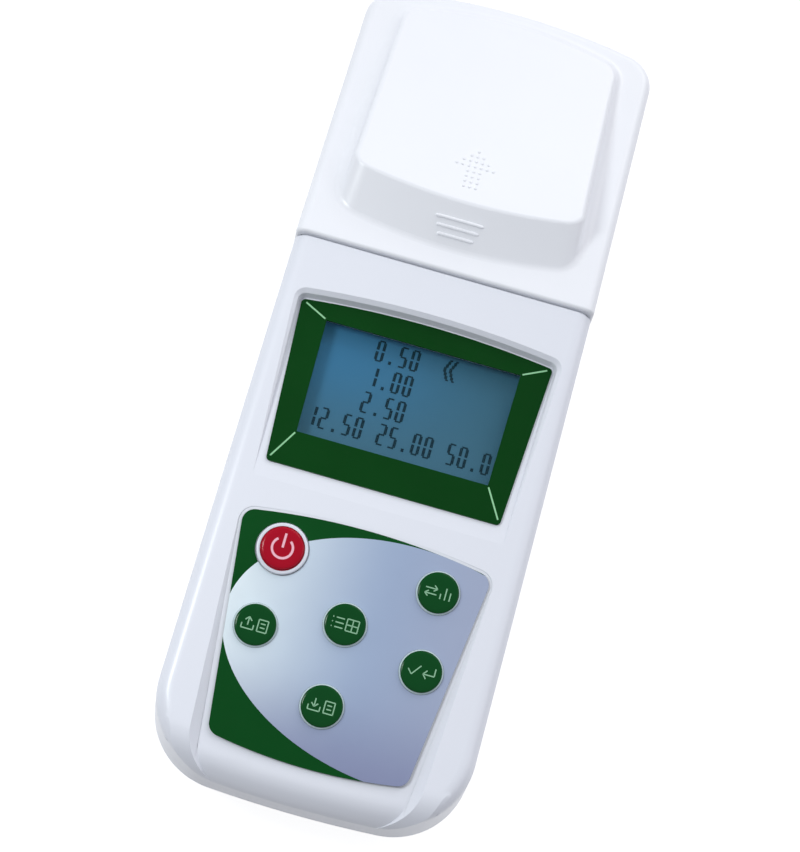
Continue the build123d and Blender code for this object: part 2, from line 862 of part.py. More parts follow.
def keypad_board():
    """Board under the keys, shaped like the keypad panel."""
    low = keypad_board_top - board_thickness
    board = slab(keypad_plane, keypad_outline(-keypad_board_inset), low, keypad_board_top)
    hole = board_screw_radius + screw_gap
    return board - plane_rods(keypad_plane, keypad_posts(), hole, low - overlap, -case_wall)


def main_board():
    """Main board, parallel to the screen and screwed to the posts behind it."""
    low = main_board_top - board_thickness
    plan = RectangleRounded(2 * main_board_half_width, 2 * main_board_half_length, board_corner)
    board = slab(screen_plane, Pos(0, window_centre) * plan, low, main_board_top)
    hole = board_screw_radius + screw_gap
    return board - plane_rods(screen_plane, screen_posts(), hole, low - overlap, -case_wall)


def board_screws():
    """Small screws that hold both boards to the case."""
    screws = []
    for plane, places, top in (
        (screen_plane, screen_posts(), main_board_top),
        (keypad_plane, keypad_posts(), keypad_board_top),
    ):
        under = top - board_thickness
        shanks = plane_rods(plane, places, board_screw_radius, under, top + board_screw_grip)
        heads = plane_rods(plane, places, board_screw_head, under - board_screw_head_height, under)
        screws += [shank + head for shank, head in zip(shanks, heads)]
    return Compound(screws)


def lcd_panel():
    """Display glass behind the window."""
    low = lcd_top - lcd_glass_thickness
    plan = Pos(0, window_centre) * Rectangle(2 * lcd_half_width, lcd_length)
    return slab(screen_plane, plan, low, lcd_top)


def lcd_backlight():
    """Light guide between the display glass and the main board."""
    plan = Pos(0, window_centre) * RectangleRounded(2 * lcd_half_width, lcd_length, backlight_corner)
    return slab(screen_plane, plan, main_board_top, lcd_top - lcd_glass_thickness)


def hung_box(plane, place, board_top, size):
    """A box fixed to the underside of a board."""
    hung = Box(*size, align=(Align.CENTER, Align.CENTER, Align.MAX))
    return plane.offset(board_top - board_thickness) * Pos(*place) * hung


def board_parts():
    """Chips, buzzer and lead sockets on the undersides of the boards."""
    main_place, keypad_place, sensor_place = socket_places()
    ribbon_socket = (ribbon_width + 2 * socket_wall, socket_depth, socket_height)
    parts = [
        hung_box(screen_plane, (x, window_centre + v), main_board_top, size)
        for (x, v), size in board_chips.items()
    ]
    parts.append(hung_box(screen_plane, main_place, main_board_top, ribbon_socket))
    parts.append(hung_box(keypad_plane, keypad_place, keypad_board_top, ribbon_socket))
    parts.append(hung_box(screen_plane, sensor_place, main_board_top, sensor_socket))
    under = main_board_top - board_thickness
    x, v = buzzer_place
    parts += plane_rods(
        screen_plane, [(x, window_centre + v)], buzzer_radius, under - buzzer_height, under
    )
    return Compound(parts)


def socket_places():
    """Places of the two ribbon sockets and the sensor socket, each in its board's plane."""
    ribbon_v = window_centre - main_board_half_length + socket_from_edge
    keypad_v = -keypad_panel_start - keypad_board_inset - socket_from_edge
    sensor_v = window_centre + main_board_half_length - socket_from_edge
    return (0.0, ribbon_v), (0.0, keypad_v), (sensor_socket_x, sensor_v)


def under_board(plane, place, board_top, drop):
    """A point under a board, drop below its socket."""
    x, v = place
    height = board_top - board_thickness - socket_height - drop
    return plane.from_local_coords(Vector(x, v, height))


def keypad_ribbon():
    """Flat lead that joins the two boards underneath."""
    main_place, keypad_place, _ = socket_places()
    drop = ribbon_drop * ribbon_bend
    start = under_board(screen_plane, main_place, main_board_top, 0)
    end = under_board(keypad_plane, keypad_place, keypad_board_top, 0)
    start_turn = under_board(screen_plane, main_place, main_board_top, drop)
    end_turn = under_board(keypad_plane, keypad_place, keypad_board_top, drop)
    path = FilletPolyline(start, start_turn, end_turn, end, radius=ribbon_bend)
    section = Plane(origin=start, x_dir=(1, 0, 0), z_dir=-screen_plane.z_dir)
    return sweep(section * Rectangle(ribbon_width, ribbon_thickness), path=path)


def cell_holder():
    """Dark block with the sample well and the bores for the light beam."""
    top = deck_height - case_wall - holder_top_gap
    side = holder_half_width
    holder = block(-side, side, well_y - side, well_y + side, floor_height, top)
    holder = fillet(holder.edges().filter_by(Axis.Z), holder_corner)
    holder += rod(neck_radius, 0, well_y, top - overlap, deck_height)
    for arm in (1, -1):
        ear = block(0, ear_reach, -ear_radius, ear_radius, 0, ear_thickness)
        ear += rod(ear_radius, ear_reach, 0, 0, ear_thickness)
        ear -= rod(holder_screw_radius + screw_gap, ear_reach, 0, -overlap, ear_thickness + overlap)
        holder += Pos(0, well_y, ear_height) * Rot(0, 0, 90 - 90 * arm) * ear
    holder -= rod(well_radius, 0, well_y, well_floor, shoulder_height)
    rim = [e for e in holder.edges().filter_by(GeomType.CIRCLE) if abs(e.radius - well_radius) < near]
    holder = chamfer(ShapeList(rim).sort_by(Axis.Z)[-1], well_chamfer)
    beam = Pos(0, well_y, beam_height) * Rot(0, 90, 0)
    holder -= beam * Cylinder(beam_radius, 2 * side)
    led_bore = side - well_radius - beam_wall
    holder -= along_x(led_radius + optic_gap, -side, led_bore)
    holder -= along_x(led_radius + led_flange + optic_gap, -side, led_flange_height)
    bore = detector_length + filter_thickness
    holder -= along_x(detector_radius + optic_gap, side - bore, bore)
    return holder


def along_x(radius, x, length):
    """A cylinder on the axis of the light beam, starting at x."""
    shape = Cylinder(radius, length, align=(Align.CENTER, Align.CENTER, Align.MIN))
    return Pos(x, well_y, beam_height) * Rot(0, 90, 0) * shape


def light_source():
    """Light-emitting diode in the left side of the holder."""
    side = holder_half_width
    dome = led_length - led_radius
    lamp = along_x(led_radius, -side, dome)
    lamp += Pos(dome - side, well_y, beam_height) * Sphere(led_radius)
    return lamp + along_x(led_radius + led_flange, -side, led_flange_height)


def light_detector():
    """Photodiode can in the right side of the holder."""
    return along_x(detector_radius, holder_half_width - detector_length, detector_length)


def colour_filter():
    """Filter disc between the well and the photodiode."""
    start = holder_half_width - detector_length - filter_thickness
    return along_x(detector_radius, start, filter_thickness)


def optic_board(side):
    """Small board on one side of the holder, behind the lamp or the photodiode."""
    inner = side * holder_half_width
    outer = side * (holder_half_width + board_thickness)
    return block(
        min(inner, outer), max(inner, outer),
        well_y - optic_board_half_width, well_y + optic_board_half_width,
        beam_height - optic_board_half_height, beam_height + optic_board_half_height,
    )


def sensor_lead():
    """Round lead from the main board to the photodiode board."""
    _, _, place = socket_places()
    end_x = holder_half_width + board_thickness
    points = [
        under_board(screen_plane, place, main_board_top, 0),
        under_board(screen_plane, place, main_board_top, lead_run),
        Vector(end_x + lead_run, well_y - 2 * lead_run, beam_height + lead_run),
        Vector(end_x + lead_run, well_y, beam_height),
        Vector(end_x, well_y, beam_height),
    ]
    path = FilletPolyline(*points, radius=lead_bend)
    section = Plane(origin=points[0], z_dir=-screen_plane.z_dir)
    return sweep(section * Circle(lead_radius), path=path)


def well_gasket():
    """Soft ring that seals the top of the holder against the deck."""
    top = deck_height - case_wall
    outer = neck_radius + neck_gap + gasket_width
    ring = rod(outer, 0, well_y, top - holder_top_gap, top)
    return ring - rod(neck_radius + neck_gap, 0, well_y, 0, shoulder_height)


def well_collar():
    """Ring on the deck round the mouth of the well."""
    top = deck_height + collar_height
    ring = rod(neck_radius + collar_width, 0, well_y, deck_height, top)
    ring = chamfer(ring.edges().sort_by(Axis.Z)[-1], collar_chamfer)
    return ring - rod(neck_radius + neck_gap, 0, well_y, 0, shoulder_height)


def holder_screws():
    """Two screws through the ears of the holder."""
    seat = ear_height + ear_thickness
    screws = []
    for side in (1, -1):
        x = side * ear_reach
        screw = rod(holder_screw_radius, x, well_y, seat - holder_screw_length, seat)
        head = rod(holder_screw_head, x, well_y, seat, seat + holder_screw_head_height)
        screws.append(screw + head)
    return Compound(screws)


def battery_x(index):
    """Place of a battery across the bay."""
    return (index - (battery_count - 1) / 2) * battery_pitch


def batteries():
    """Round cells side by side, every second one turned end for end."""
    cells = []
    length = battery_length + battery_nub_length
    for index in range(battery_count):
        cell = rod(battery_radius, 0, 0, 0, battery_length)
        cell = fillet(cell.edges(), battery_edge)
        cell += rod(battery_nub_radius, 0, 0, battery_length - overlap, length)
        start = bay_grip_y + contact_room
        turn = Rot(-90, 0, 0)
        if index % 2:
            start += length
            turn = Rot(90, 0, 0)
        cells.append(Pos(battery_x(index), start, battery_height) * turn * cell)
    return Compound(cells)


def battery_contacts():
    """Sheet contacts at both ends of every cell, each with a bowed spring leaf."""
    contacts = []
    half = contact_side / 2
    for index in range(battery_count):
        x = battery_x(index)
        for wall_y, facing in ((bay_grip_y, 1), (bay_head_y, -1)):
            plate = block(-half, half, 0, contact_thickness, -half, half)
            sag = contact_spring
            leaf_end = half - contact_margin
            bow = make_face([
                ThreePointArc((-leaf_end, 0), (0, sag), (leaf_end, 0)),
                Line((leaf_end, 0), (-leaf_end, 0)),
            ])
            leaf = Pos(0, contact_thickness, -contact_leaf / 2) * extrude(bow, amount=contact_leaf)
            turned = Rot(0, 0, 90 - 90 * facing) * (plate + leaf)
            contacts.append(Pos(x, wall_y, battery_height) * turned)
    return Compound(contacts)


def battery_door():
    """Door cut from the back and the grip end, held by a lip along each side."""
    outside = lower_block()
    door = (outside - lower_block(door_wall)) & door_opening()
    door += door_lips() & outside
    sunk = door_groove_radius - door_groove_depth
    start = door_groove_start - half_length
    for index in range(door_grooves):
        y = start + index * door_groove_pitch
        groove = Rot(0, 90, 0) * Cylinder(door_groove_radius, door_width / 2)
        door -= Pos(0, y, back_height - sunk) * groove
    return door


def case_screws():
    """Screws that join the two halves of the case."""
    screws = []
    for x, y in both_sides(case_screw_places):
        screw = rod(case_screw_radius, x, y, case_screw_seat, case_screw_seat + case_screw_length)
        head = rod(case_screw_head, x, y, case_screw_seat - case_screw_head_height, case_screw_seat)
        screws.append(screw + fillet(head.edges().sort_by(Axis.Z)[0], case_screw_edge))
    return Compound(screws)


def rubber_feet():
    """Four round feet in shallow recesses."""
    feet = []
    for x, y in both_sides(foot_places):
        foot = rod(foot_radius, x, y, 0, back_height + foot_recess)
        feet.append(fillet(foot.edges().sort_by(Axis.Z)[0], foot_edge))
    return Compound(feet)


nodes = {
    "upper_shell": upper_shell,
    "lower_shell": lower_shell,
    "sliding_lid": sliding_lid,
    "screen_overlay": screen_overlay,
    "screen_window": screen_window,
    "keypad_overlay": keypad_overlay,
    "power_bezel": power_bezel,
    "key_switches": key_switches,
    "keypad_board": keypad_board,
    "main_board": main_board,
    "board_parts": board_parts,
    "board_screws": board_screws,
    "keypad_ribbon": keypad_ribbon,
    "lcd_panel": lcd_panel,
    "lcd_backlight": lcd_backlight,
    "cell_holder": cell_holder,
    "light_source": light_source,
    "light_detector": light_detector,
    "colour_filter": colour_filter,
    "sensor_lead": sensor_lead,
    "well_gasket": well_gasket,
    "well_collar": well_collar,
    "holder_screws": holder_screws,
    "batteries": batteries,
    "battery_contacts": battery_contacts,
    "battery_door": battery_door,
    "case_screws": case_screws,
    "rubber_feet": rubber_feet,
}

os.makedirs("parts", exist_ok=True)
for node_name, make in nodes.items():
    export_step(make(), f"parts/{node_name}.step")
for key_name in key_places():
    export_step(key(key_name), f"parts/{key_name}.step")
export_step(optic_board(-1), "parts/lamp_board.step")
export_step(optic_board(1), "parts/detector_board.step")
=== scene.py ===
import json
import math

import bmesh
import bpy
from mathutils import Matrix, Vector
from mathutils.bvhtree import BVHTree


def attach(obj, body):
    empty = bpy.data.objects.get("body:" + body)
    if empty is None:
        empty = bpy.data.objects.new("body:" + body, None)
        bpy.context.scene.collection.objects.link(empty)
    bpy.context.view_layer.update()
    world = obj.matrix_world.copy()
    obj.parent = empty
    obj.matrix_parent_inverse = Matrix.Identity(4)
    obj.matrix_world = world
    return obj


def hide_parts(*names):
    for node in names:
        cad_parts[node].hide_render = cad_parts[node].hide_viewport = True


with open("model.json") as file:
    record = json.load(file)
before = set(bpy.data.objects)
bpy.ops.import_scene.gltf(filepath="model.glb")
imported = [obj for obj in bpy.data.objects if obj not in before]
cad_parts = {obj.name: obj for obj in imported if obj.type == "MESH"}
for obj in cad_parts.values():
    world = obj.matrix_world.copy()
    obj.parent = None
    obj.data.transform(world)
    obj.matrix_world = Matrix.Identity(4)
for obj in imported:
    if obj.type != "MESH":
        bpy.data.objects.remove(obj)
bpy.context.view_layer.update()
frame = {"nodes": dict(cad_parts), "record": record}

# MM turns millimetres into metres. Named sizes are in millimetres, unless they carry MM or
# their comment or name says metres.
MM = 0.001

# Camera, as fitted to the photograph
PHOTO_HEIGHT_PIXELS = 852
FOCAL_PIXELS = 2196
VIEW_TILT = math.radians(24.0)
VIEW_ROLL = math.radians(15.87)
VIEW_DISTANCE = 556 * MM
AIM = Vector((-0.35, -15.0, 50.0)) * MM
CLIP_METRES = (0.01, 20)

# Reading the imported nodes
TOP_SLOPE = 0.5             # least upward share of a normal that belongs to a top face
FLAT_TOLERANCE = 2e-6       # metres off a flat top that still count as on it
SHARP_ANGLE = 35            # degrees between faces that are kept as an edge

# Print on the keypad: the silver field is part of an ellipse
FIELD_CENTRE = (17.3, -0.15)
FIELD_HALF_AXES = (47.1, 29.5)
FIELD_TURN = math.radians(-6.0)
FIELD_STEPS = 180
FIELD_GAP = 0.25            # bare ring round the power button's bezel
PRINT_THICKNESS = 0.04
CIRCLE_SIDES = 72

# Keys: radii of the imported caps, then their domes, the holes round them and their collars
KEY_RADIUS = 5.3
POWER_CAP_RADIUS = 5.35
DOME_RADIUS = 5.2
POWER_RADIUS = 5.3
DOME_RISE = 0.4
DOME_SKIRT = 0.14
DOME_FULLNESS = 8           # the higher, the flatter the dome's middle
DOME_RINGS = 10
DOME_SIDES = 72
KEY_HOLE_RADIUS = 5.62
COLLAR_REACH = (-0.1, 0.25)     # inner and outer edge, from the cap's radius
COLLAR_TOP = -0.42
COLLAR_DEPTH = 0.6
COLLAR_SIDES = 96
COLLAR_STEPS = 8
COLLAR_SHARP = 50

# Symbols on the keys
SYMBOL_STROKE = 0.3
SYMBOL_SIZE = 3.0
SYMBOL_GAP = 0.7
STROKE_STEP = 0.25
POWER_RING_RADIUS = 2.6
POWER_RING_STEPS = 56
POWER_STROKE = 0.6
POWER_BAR = (0.1, 3.75)
POWER_OPENING = math.radians(38)

# Screen
DISPLAY_DOTS = (128, 64)
DOT_PITCH = (0.384, 0.456)
DOT_FILL = 0.97
DOT_THICKNESS = 0.03
DISPLAY_SHIFT = (0.3, 2.2)
DISPLAY_LINES = ("    0.50", "    1.00", "    2.50", "12.50 25.00 50.0")
SIGN_DOTS = (8, 16)         # dots that one sign takes up across and down
SIGN_FOOT = (1, 14)         # its lower left dot, from the sign's upper left corner
DIGIT_HEIGHT = 13
MARK_COLUMN = 10
WINDOW_ROOM = (27, 18)      # half of a box that holds the window's corners, not the panel's
MITRE_WIDTH = 0.42
MITRE_GAP = 1.1             # from the panel's corner
MITRE_END = 0.5             # from the window's corner

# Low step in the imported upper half, where its grip end begins to round over
STEP_SPAN = (-105.2, -99.9)     # along Y
STEP_HEIGHT = 0.3
STEP_LOWEST = 34.0
STEP_SPLIT = 36.0           # between the keypad's floor and the shoulders
STEP_SNAP = 0.3
STEP_FOOT = 0.001           # corners this close to the lowest one are the step's foot
STEP_FACING = 0.7           # share of a normal that points to the grip's end
STEP_BLEND = math.radians(30)
DECK_SLOPE = 0.9            # least upward share of a deck face's normal

# Raised marks on the lid
ARROW_ROWS = (1, 3, 5, 7, 3, 3, 3, 3)
ARROW_PITCH = 1.65
ARROW_DOT_RADIUS = 0.42
ARROW_DOT_RISE = 0.28
ARROW_DOT_FOOT = 0.02
ARROW_DOT_SIDES = 16
ARROW_DOT_RINGS = 4
ARROW_CENTRE = 55.4
RIB_LENGTHS = (13.0, 11.4, 9.8)
RIB_PITCH = 1.9
RIB_WIDTH = 0.9
RIB_RISE = 0.45
RIB_FOOT = 0.03
RIB_TIP = 0.05              # share of the section that is left at a rib's tip
RIB_STEPS = 26
RIB_SECTION_STEPS = 8
RIB_SHARP = 60
RIB_CENTRE = 38.6
ABOVE_LID = 0.2             # metres, where the search for the lid's surface starts

# Light from the surroundings
WHITE_LIGHT = (1, 1, 1, 1)
WORLD_COLOUR = (0.92, 0.93, 1.0, 1.0)
WORLD_STRENGTH = (0.22, 1.02)   # on the grip's side and on the head's side
MIRRORED_STRENGTH = 0.35        # how bright they look in glossy surfaces

# Each lamp's place, the point it faces, and its side, all in metres, then power and colour
LAMPS = {
    "left_lamp": ((-0.31, -0.08, 0.42), (0, -0.03, 0.04), 0.13, 0.9, (0.95, 1.0, 0.99)),
    "right_lamp": ((0.5, 0.1, 0.32), (0, 0, 0.04), 0.4, 0.4, (0.98, 0.98, 1.0)),
    "head_lamp": ((0.3, 0.85, 0.75), (0, 0, 0.04), 0.6, 2.8, (1.0, 0.99, 0.94)),
}

# Floor
FLOOR_HALF_METRES = 3.0
FLOOR_HEIGHT = -0.05
FLOOR_COLOUR = (0.35, 0.355, 0.365, 1)
FLOOR_ROUGHNESS = 0.9
FLOOR_SHINE = 0.1
FLOOR_GLOW = 0.88


def paint(red, green, blue):
    """A colour given by its bytes, as the shaders want it."""
    def linear(value):
        share = value / 255
        return share / 12.92 if share <= 0.04045 else ((share + 0.055) / 1.055) ** 2.4
    return (linear(red), linear(green), linear(blue), 1.0)


class Finish:
    """A material with patterns in the piece's own coordinates."""

    def __init__(self, name, colour, roughness, metallic=0.0, shine=0.5):
        self.material = bpy.data.materials.new(name)
        self.material.use_nodes = True
        self.tree = self.material.node_tree
        self.shader = self.tree.nodes["Principled BSDF"]
        self.colour = colour
        self.roughness = roughness
        self.shader.inputs["Base Color"].default_value = colour
        self.shader.inputs["Roughness"].default_value = roughness
        self.shader.inputs["Metallic"].default_value = metallic
        self.shader.inputs["Specular IOR Level"].default_value = shine
        self.place = self.tree.nodes.new("ShaderNodeTexCoord").outputs["Object"]

    def link(self, source, target):
        """Joins an output to an input."""
        self.tree.links.new(source, target)

    def noise(self, size, detail=2.0):
        """Noise with features about size metres wide."""
        mapping = self.tree.nodes.new("ShaderNodeMapping")
        mapping.inputs["Scale"].default_value = [1 / size] * 3
        self.link(self.place, mapping.inputs["Vector"])
        noise = self.tree.nodes.new("ShaderNodeTexNoise")
        noise.inputs["Scale"].default_value = 1.0
        noise.inputs["Detail"].default_value = detail
        self.link(mapping.outputs["Vector"], noise.inputs["Vector"])
        return noise.outputs["Fac"]

    def between(self, source, low, high, start=0.3, end=0.7):
        """A value from low to high, with soft ends, as the source goes from start to end."""
        ramp = self.tree.nodes.new("ShaderNodeMapRange")
        ramp.interpolation_type = "SMOOTHSTEP"
        ends = {"From Min": start, "From Max": end, "To Min": low, "To Max": high}
        for name, value in ends.items():
            ramp.inputs[name].default_value = value
        self.link(source, ramp.inputs["Value"])
        return ramp.outputs["Result"]

    def along(self, axis, low, high):
        """0 to 1 along X, Y or Z, from low to high."""
        parts = self.tree.nodes.new("ShaderNodeSeparateXYZ")
        self.link(self.place, parts.inputs["Vector"])
        return self.between(parts.outputs[axis], 0.0, 1.0, low, high)

    def mix(self, factor, first, second):
        """A colour between two, which are colours or the outputs of other nodes."""
        node = self.tree.nodes.new("ShaderNodeMix")
        node.data_type = "RGBA"
        self.link(factor, node.inputs["Factor"])
        for value, socket in ((first, node.inputs[6]), (second, node.inputs[7])):
            if isinstance(value, tuple):
                socket.default_value = value
            else:
                self.link(value, socket)
        return node.outputs[2]

    def mottle(self, other, size=0.02):
        """Lets the colour drift towards another one in soft patches."""
        factor = self.between(self.noise(size), 0.0, 1.0)
        self.link(self.mix(factor, self.colour, other), self.shader.inputs["Base Color"])
        return self

    def worn(self, spread=0.05, size=0.003):
        """Lets the roughness vary in small patches."""
        low = max(self.roughness - spread, 0.02)
        value = self.between(self.noise(size, 3.0), low, self.roughness + spread)
        self.link(value, self.shader.inputs["Roughness"])
        return self

    def grain(self, size, depth):
        """Gives the surface a fine relief, depth metres deep."""
        bump = self.tree.nodes.new("ShaderNodeBump")
        bump.inputs["Strength"].default_value = 1.0
        bump.inputs["Distance"].default_value = depth
        self.link(self.noise(size), bump.inputs["Height"])
        self.link(bump.outputs["Normal"], self.shader.inputs["Normal"])
        return self

    def clear(self, tint):
        """Output of a clear surface."""
        through = self.tree.nodes.new("ShaderNodeBsdfTransparent")
        through.inputs["Color"].default_value = tint
        return through.outputs["BSDF"]

    def show(self, factor, first, second):
        """Shows a mix of two surfaces. The factor is a number or the output of a node."""
        choice = self.tree.nodes.new("ShaderNodeMixShader")
        if isinstance(factor, float):
            choice.inputs["Fac"].default_value = factor
        else:
            self.link(factor, choice.inputs["Fac"])
        self.link(first, choice.inputs[1])
        self.link(second, choice.inputs[2])
        self.link(choice.outputs["Shader"], self.tree.nodes["Material Output"].inputs["Surface"])
        return self


def shaded(colour, factor):
    """The colour made darker or lighter by a factor."""
    return (colour[0] * factor, colour[1] * factor, colour[2] * factor, 1.0)


def moulded(name, colour, roughness, grain_size=0.0005, grain_depth=6e-7, shine=0.5):
    """Moulded plastic with a faint drift in colour and shine, and a fine grain."""
    finish = Finish(name, colour, roughness, shine=shine)
    finish.mottle(shaded(colour, 0.994)).worn(0.015, 0.006).grain(grain_size, grain_depth)
    return finish.material


def printed(name, colour, other, roughness=0.32, shine=0.25):
    """Printed film with an even, slightly textured surface."""
    finish = Finish(name, colour, roughness, shine=shine)
    finish.mottle(other, 0.03).worn(0.03, 0.002).grain(0.0002, 1e-6)
    return finish.material


def metal(name, colour, roughness):
    """Bare or plated metal with fine marks."""
    finish = Finish(name, colour, roughness, metallic=1.0)
    finish.mottle(shaded(colour, 0.85), 0.004).worn(0.08, 0.001).grain(0.0003, 2e-6)
    return finish.material


def silver_print_painted_sheen():
    """Pearly silver print with a painted sheen: painted lighter towards the left edge and the head, and
    painted shade towards the right and the grip's end.
    """
    finish = Finish("silver_print_painted_sheen", paint(186, 200, 216), 0.36, metallic=0.12)
    # Painted reflection: light at the left edge, darker across to the right
    left = finish.mix(finish.along("X", -0.038, 0.012), paint(237, 250, 255), paint(162, 181, 211))
    right = finish.mix(finish.along("X", 0.0, 0.034), left, paint(168, 179, 206))
    # Painted shade: darker towards the grip's end
    low = finish.mix(finish.along("Y", -0.076, -0.108), right, paint(138, 145, 180))
    finish.link(low, finish.shader.inputs["Base Color"])
    return finish.worn(0.04, 0.004).grain(0.0003, 1e-6).material


def display_glass_painted_light():
    """Blue-grey display with painted light: painted lighter towards its left side, and greyer towards the
    bottom.
    """
    finish = Finish("display_glass_painted_light", paint(70, 112, 142), 0.25, shine=0.1)
    # Painted light: lighter at the left side, darker to the right
    across = finish.mix(finish.along("X", -0.026, 0.026), paint(70, 122, 160), paint(71, 106, 127))
    down = finish.mix(finish.along("Y", 0.004, -0.026), across, paint(77, 110, 130))
    finish.link(down, finish.shader.inputs["Base Color"])
    return finish.worn(0.02, 0.004).grain(0.0004, 2e-7).material


def clear_plastic(name, tint):
    """Clear plastic that lets the lamps through to what lies behind it."""
    finish = Finish(name, tint, 0.03)
    finish.shader.inputs["Transmission Weight"].default_value = 1.0
    finish.shader.inputs["IOR"].default_value = 1.45
    finish.worn(0.02, 0.004)
    ray = finish.tree.nodes.new("ShaderNodeLightPath")
    surface = finish.shader.outputs["BSDF"]
    return finish.show(ray.outputs["Is Shadow Ray"], surface, finish.clear(tint)).material


def clear_sheet(name, tint, gloss):
    """Thin coated sheet: what lies behind it shows, with a faint even bluish gloss over it."""
    finish = Finish(name, (0.2, 0.88, 1.0, 1.0), 0.1, metallic=1.0)
    finish.worn(0.02, 0.004)
    return finish.show(gloss, finish.clear(tint), finish.shader.outputs["BSDF"]).material


def circuit_board():
    """Coated board with faint copper tracks under the green."""
    finish = Finish("board_green", paint(20, 92, 48), 0.35)
    tracks = finish.tree.nodes.new("ShaderNodeTexBrick")
    tracks.inputs["Scale"].default_value = 220.0
    tracks.inputs["Color1"].default_value = finish.colour
    tracks.inputs["Color2"].default_value = paint(26, 104, 56)
    tracks.inputs["Mortar"].default_value = paint(48, 128, 72)
    tracks.inputs["Mortar Size"].default_value = 0.06
    finish.link(finish.place, tracks.inputs["Vector"])
    finish.link(tracks.outputs["Color"], finish.shader.inputs["Base Color"])
    return finish.worn().grain(0.0006, 6e-6).material


def battery_sleeve():
    """Plain printed sleeve with a pale band round it."""
    finish = Finish("battery_sleeve", paint(52, 60, 74), 0.34)
    band = finish.mix(finish.along("Y", -0.0905, -0.0900), finish.colour, paint(190, 196, 204))
    back = finish.mix(finish.along("Y", -0.0765, -0.0760), band, finish.colour)
    finish.link(back, finish.shader.inputs["Base Color"])
    return finish.worn().grain(0.0004, 2e-6).material


# Moulded pieces by slot: colour in bytes and roughness, then for some of them the size and
# depth of the grain in metres, and the shine
SOFT_GRAIN = (0.0008, 2e-5)
GLOSSY_GRAIN = (0.001, 1e-7)
MOULDED = {
    "case_white": ((232, 235, 243), 0.3),
    "lid_white": ((241, 243, 248), 0.3),
    "bezel_white": ((224, 228, 238), 0.25),
    "key_green": ((196, 214, 216), 0.3),
    "switch_black": ((40, 40, 42), 0.5),
    "chip_black": ((46, 46, 48), 0.6),
    "ribbon_grey": ((176, 178, 182), 0.5),
    "backlight_white": ((226, 230, 236), 0.4),
    "holder_black": ((38, 39, 42), 0.55),
    "collar_grey": ((122, 126, 132), 0.45),
    "rubber_black": ((34, 34, 35), 0.75, *SOFT_GRAIN),
    "rubber_grey": ((96, 98, 102), 0.8, *SOFT_GRAIN),
    "button_red": ((168, 4, 34), 0.16, *GLOSSY_GRAIN, 0.22),
    "dome_green": ((3, 70, 27), 0.14, *GLOSSY_GRAIN, 0.22),
}
# Prints: two colours in bytes that each drifts between, then for some the roughness and shine
PRINTED = {
    "panel_green": ((4, 60, 16), (6, 65, 19), 0.32, 0.1),
    "keypad_print": ((5, 70, 24), (8, 75, 28), 0.32, 0.1),
    "symbol_pale": ((148, 196, 160), (138, 186, 150)),
    "power_pale": ((244, 190, 204), (240, 184, 198)),
    "mitre_pale": ((150, 208, 160), (140, 198, 150)),
    "dot_dark": ((8, 20, 38), (12, 26, 46)),
}
# Metals: colour in linear shares, and roughness
METALS = {
    "steel": ((0.56, 0.57, 0.58, 1.0), 0.36),
    "can_metal": ((0.72, 0.68, 0.56, 1.0), 0.36),
    "contact_nickel": ((0.66, 0.62, 0.55, 1.0), 0.38),
}
materials = {
    "clear_window": clear_sheet("clear_window", (0.94, 0.98, 0.99, 1.0), 0.03),
    "lamp_clear": clear_plastic("lamp_clear", (0.95, 0.92, 0.84, 1.0)),
    "filter_glass": clear_plastic("filter_glass", (0.9, 0.55, 0.2, 1.0)),
    "board_green": circuit_board(),
    "lcd_glass": display_glass_painted_light(),
    "battery_sleeve": battery_sleeve(),
    "silver_print_painted_sheen": silver_print_painted_sheen(),
}
for slot, (colour, *rest) in MOULDED.items():
    materials[slot] = moulded(slot, paint(*colour), *rest)
for slot, (colour, other, *rest) in PRINTED.items():
    materials[slot] = printed(slot, paint(*colour), paint(*other), *rest)
for slot, values in METALS.items():
    materials[slot] = metal(slot, *values)


def metric(x, y, z):
    """A point given in millimetres, in metres."""
    return Vector((x * MM, y * MM, z * MM))


def shown(name, data):
    """A new object in the scene with the given mesh, lamp or camera."""
    thing = bpy.data.objects.new(name, data)
    bpy.context.scene.collection.objects.link(thing)
    return thing


def dress_nodes():
    """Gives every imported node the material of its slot, with smooth shading kept as packed."""
    for part in frame["record"]["subparts"]:
        node = frame["nodes"][part["node"]]
        node.data.materials.clear()
        node.data.materials.append(materials[part["material_slot"]])


def spot_key(point):
    """A point in millimetres as a key, the same for corners that lie together."""
    return tuple(round(value, 3) for value in point)


def step_spots(mesh):
    """Corners of the low step's faces, in millimetres."""
    spots = {}
    for face in mesh.polygons:
        points = [mesh.vertices[i].co / MM for i in face.vertices]
        heights = [point.z for point in points]
        upright = face.normal.y < -STEP_FACING and abs(face.normal.z) < STEP_FACING
        inside = all(STEP_SPAN[0] < point.y < STEP_SPAN[1] for point in points)
        low = min(heights) > STEP_LOWEST and max(heights) - min(heights) < STEP_HEIGHT
        if upright and inside and low:
            spots.update((spot_key(point), point) for point in points)
    return spots


def step_targets(spots):
    """Where each corner of the step goes: down to its foot, or to the foot's corner close by."""
    targets = {}
    for on_floor in (True, False):
        group = {key: point for key, point in spots.items() if (point.z < STEP_SPLIT) == on_floor}
        level = min((point.z for point in group.values()), default=0.0)
        feet = [point for point in group.values() if point.z - level < STEP_FOOT]
        for key, point in group.items():
            foot = min(feet, key=lambda other: (other.xy - point.xy).length)
            close = (foot.xy - point.xy).length < STEP_SNAP
            targets[key] = Vector((*(foot if close else point).xy, level))
    return targets


def deck_normals(mesh, targets):
    """Direction of the widest face that touches the step at each level."""
    widest = {}
    for face in mesh.polygons:
        for level in {targets[i].z for i in face.vertices if targets[i]}:
            if face.normal.z > DECK_SLOPE and face.area > widest.get(level, (0, None))[0]:
                widest[level] = (face.area, face.normal.copy())
    return {level: normal for level, (_, normal) in widest.items()}


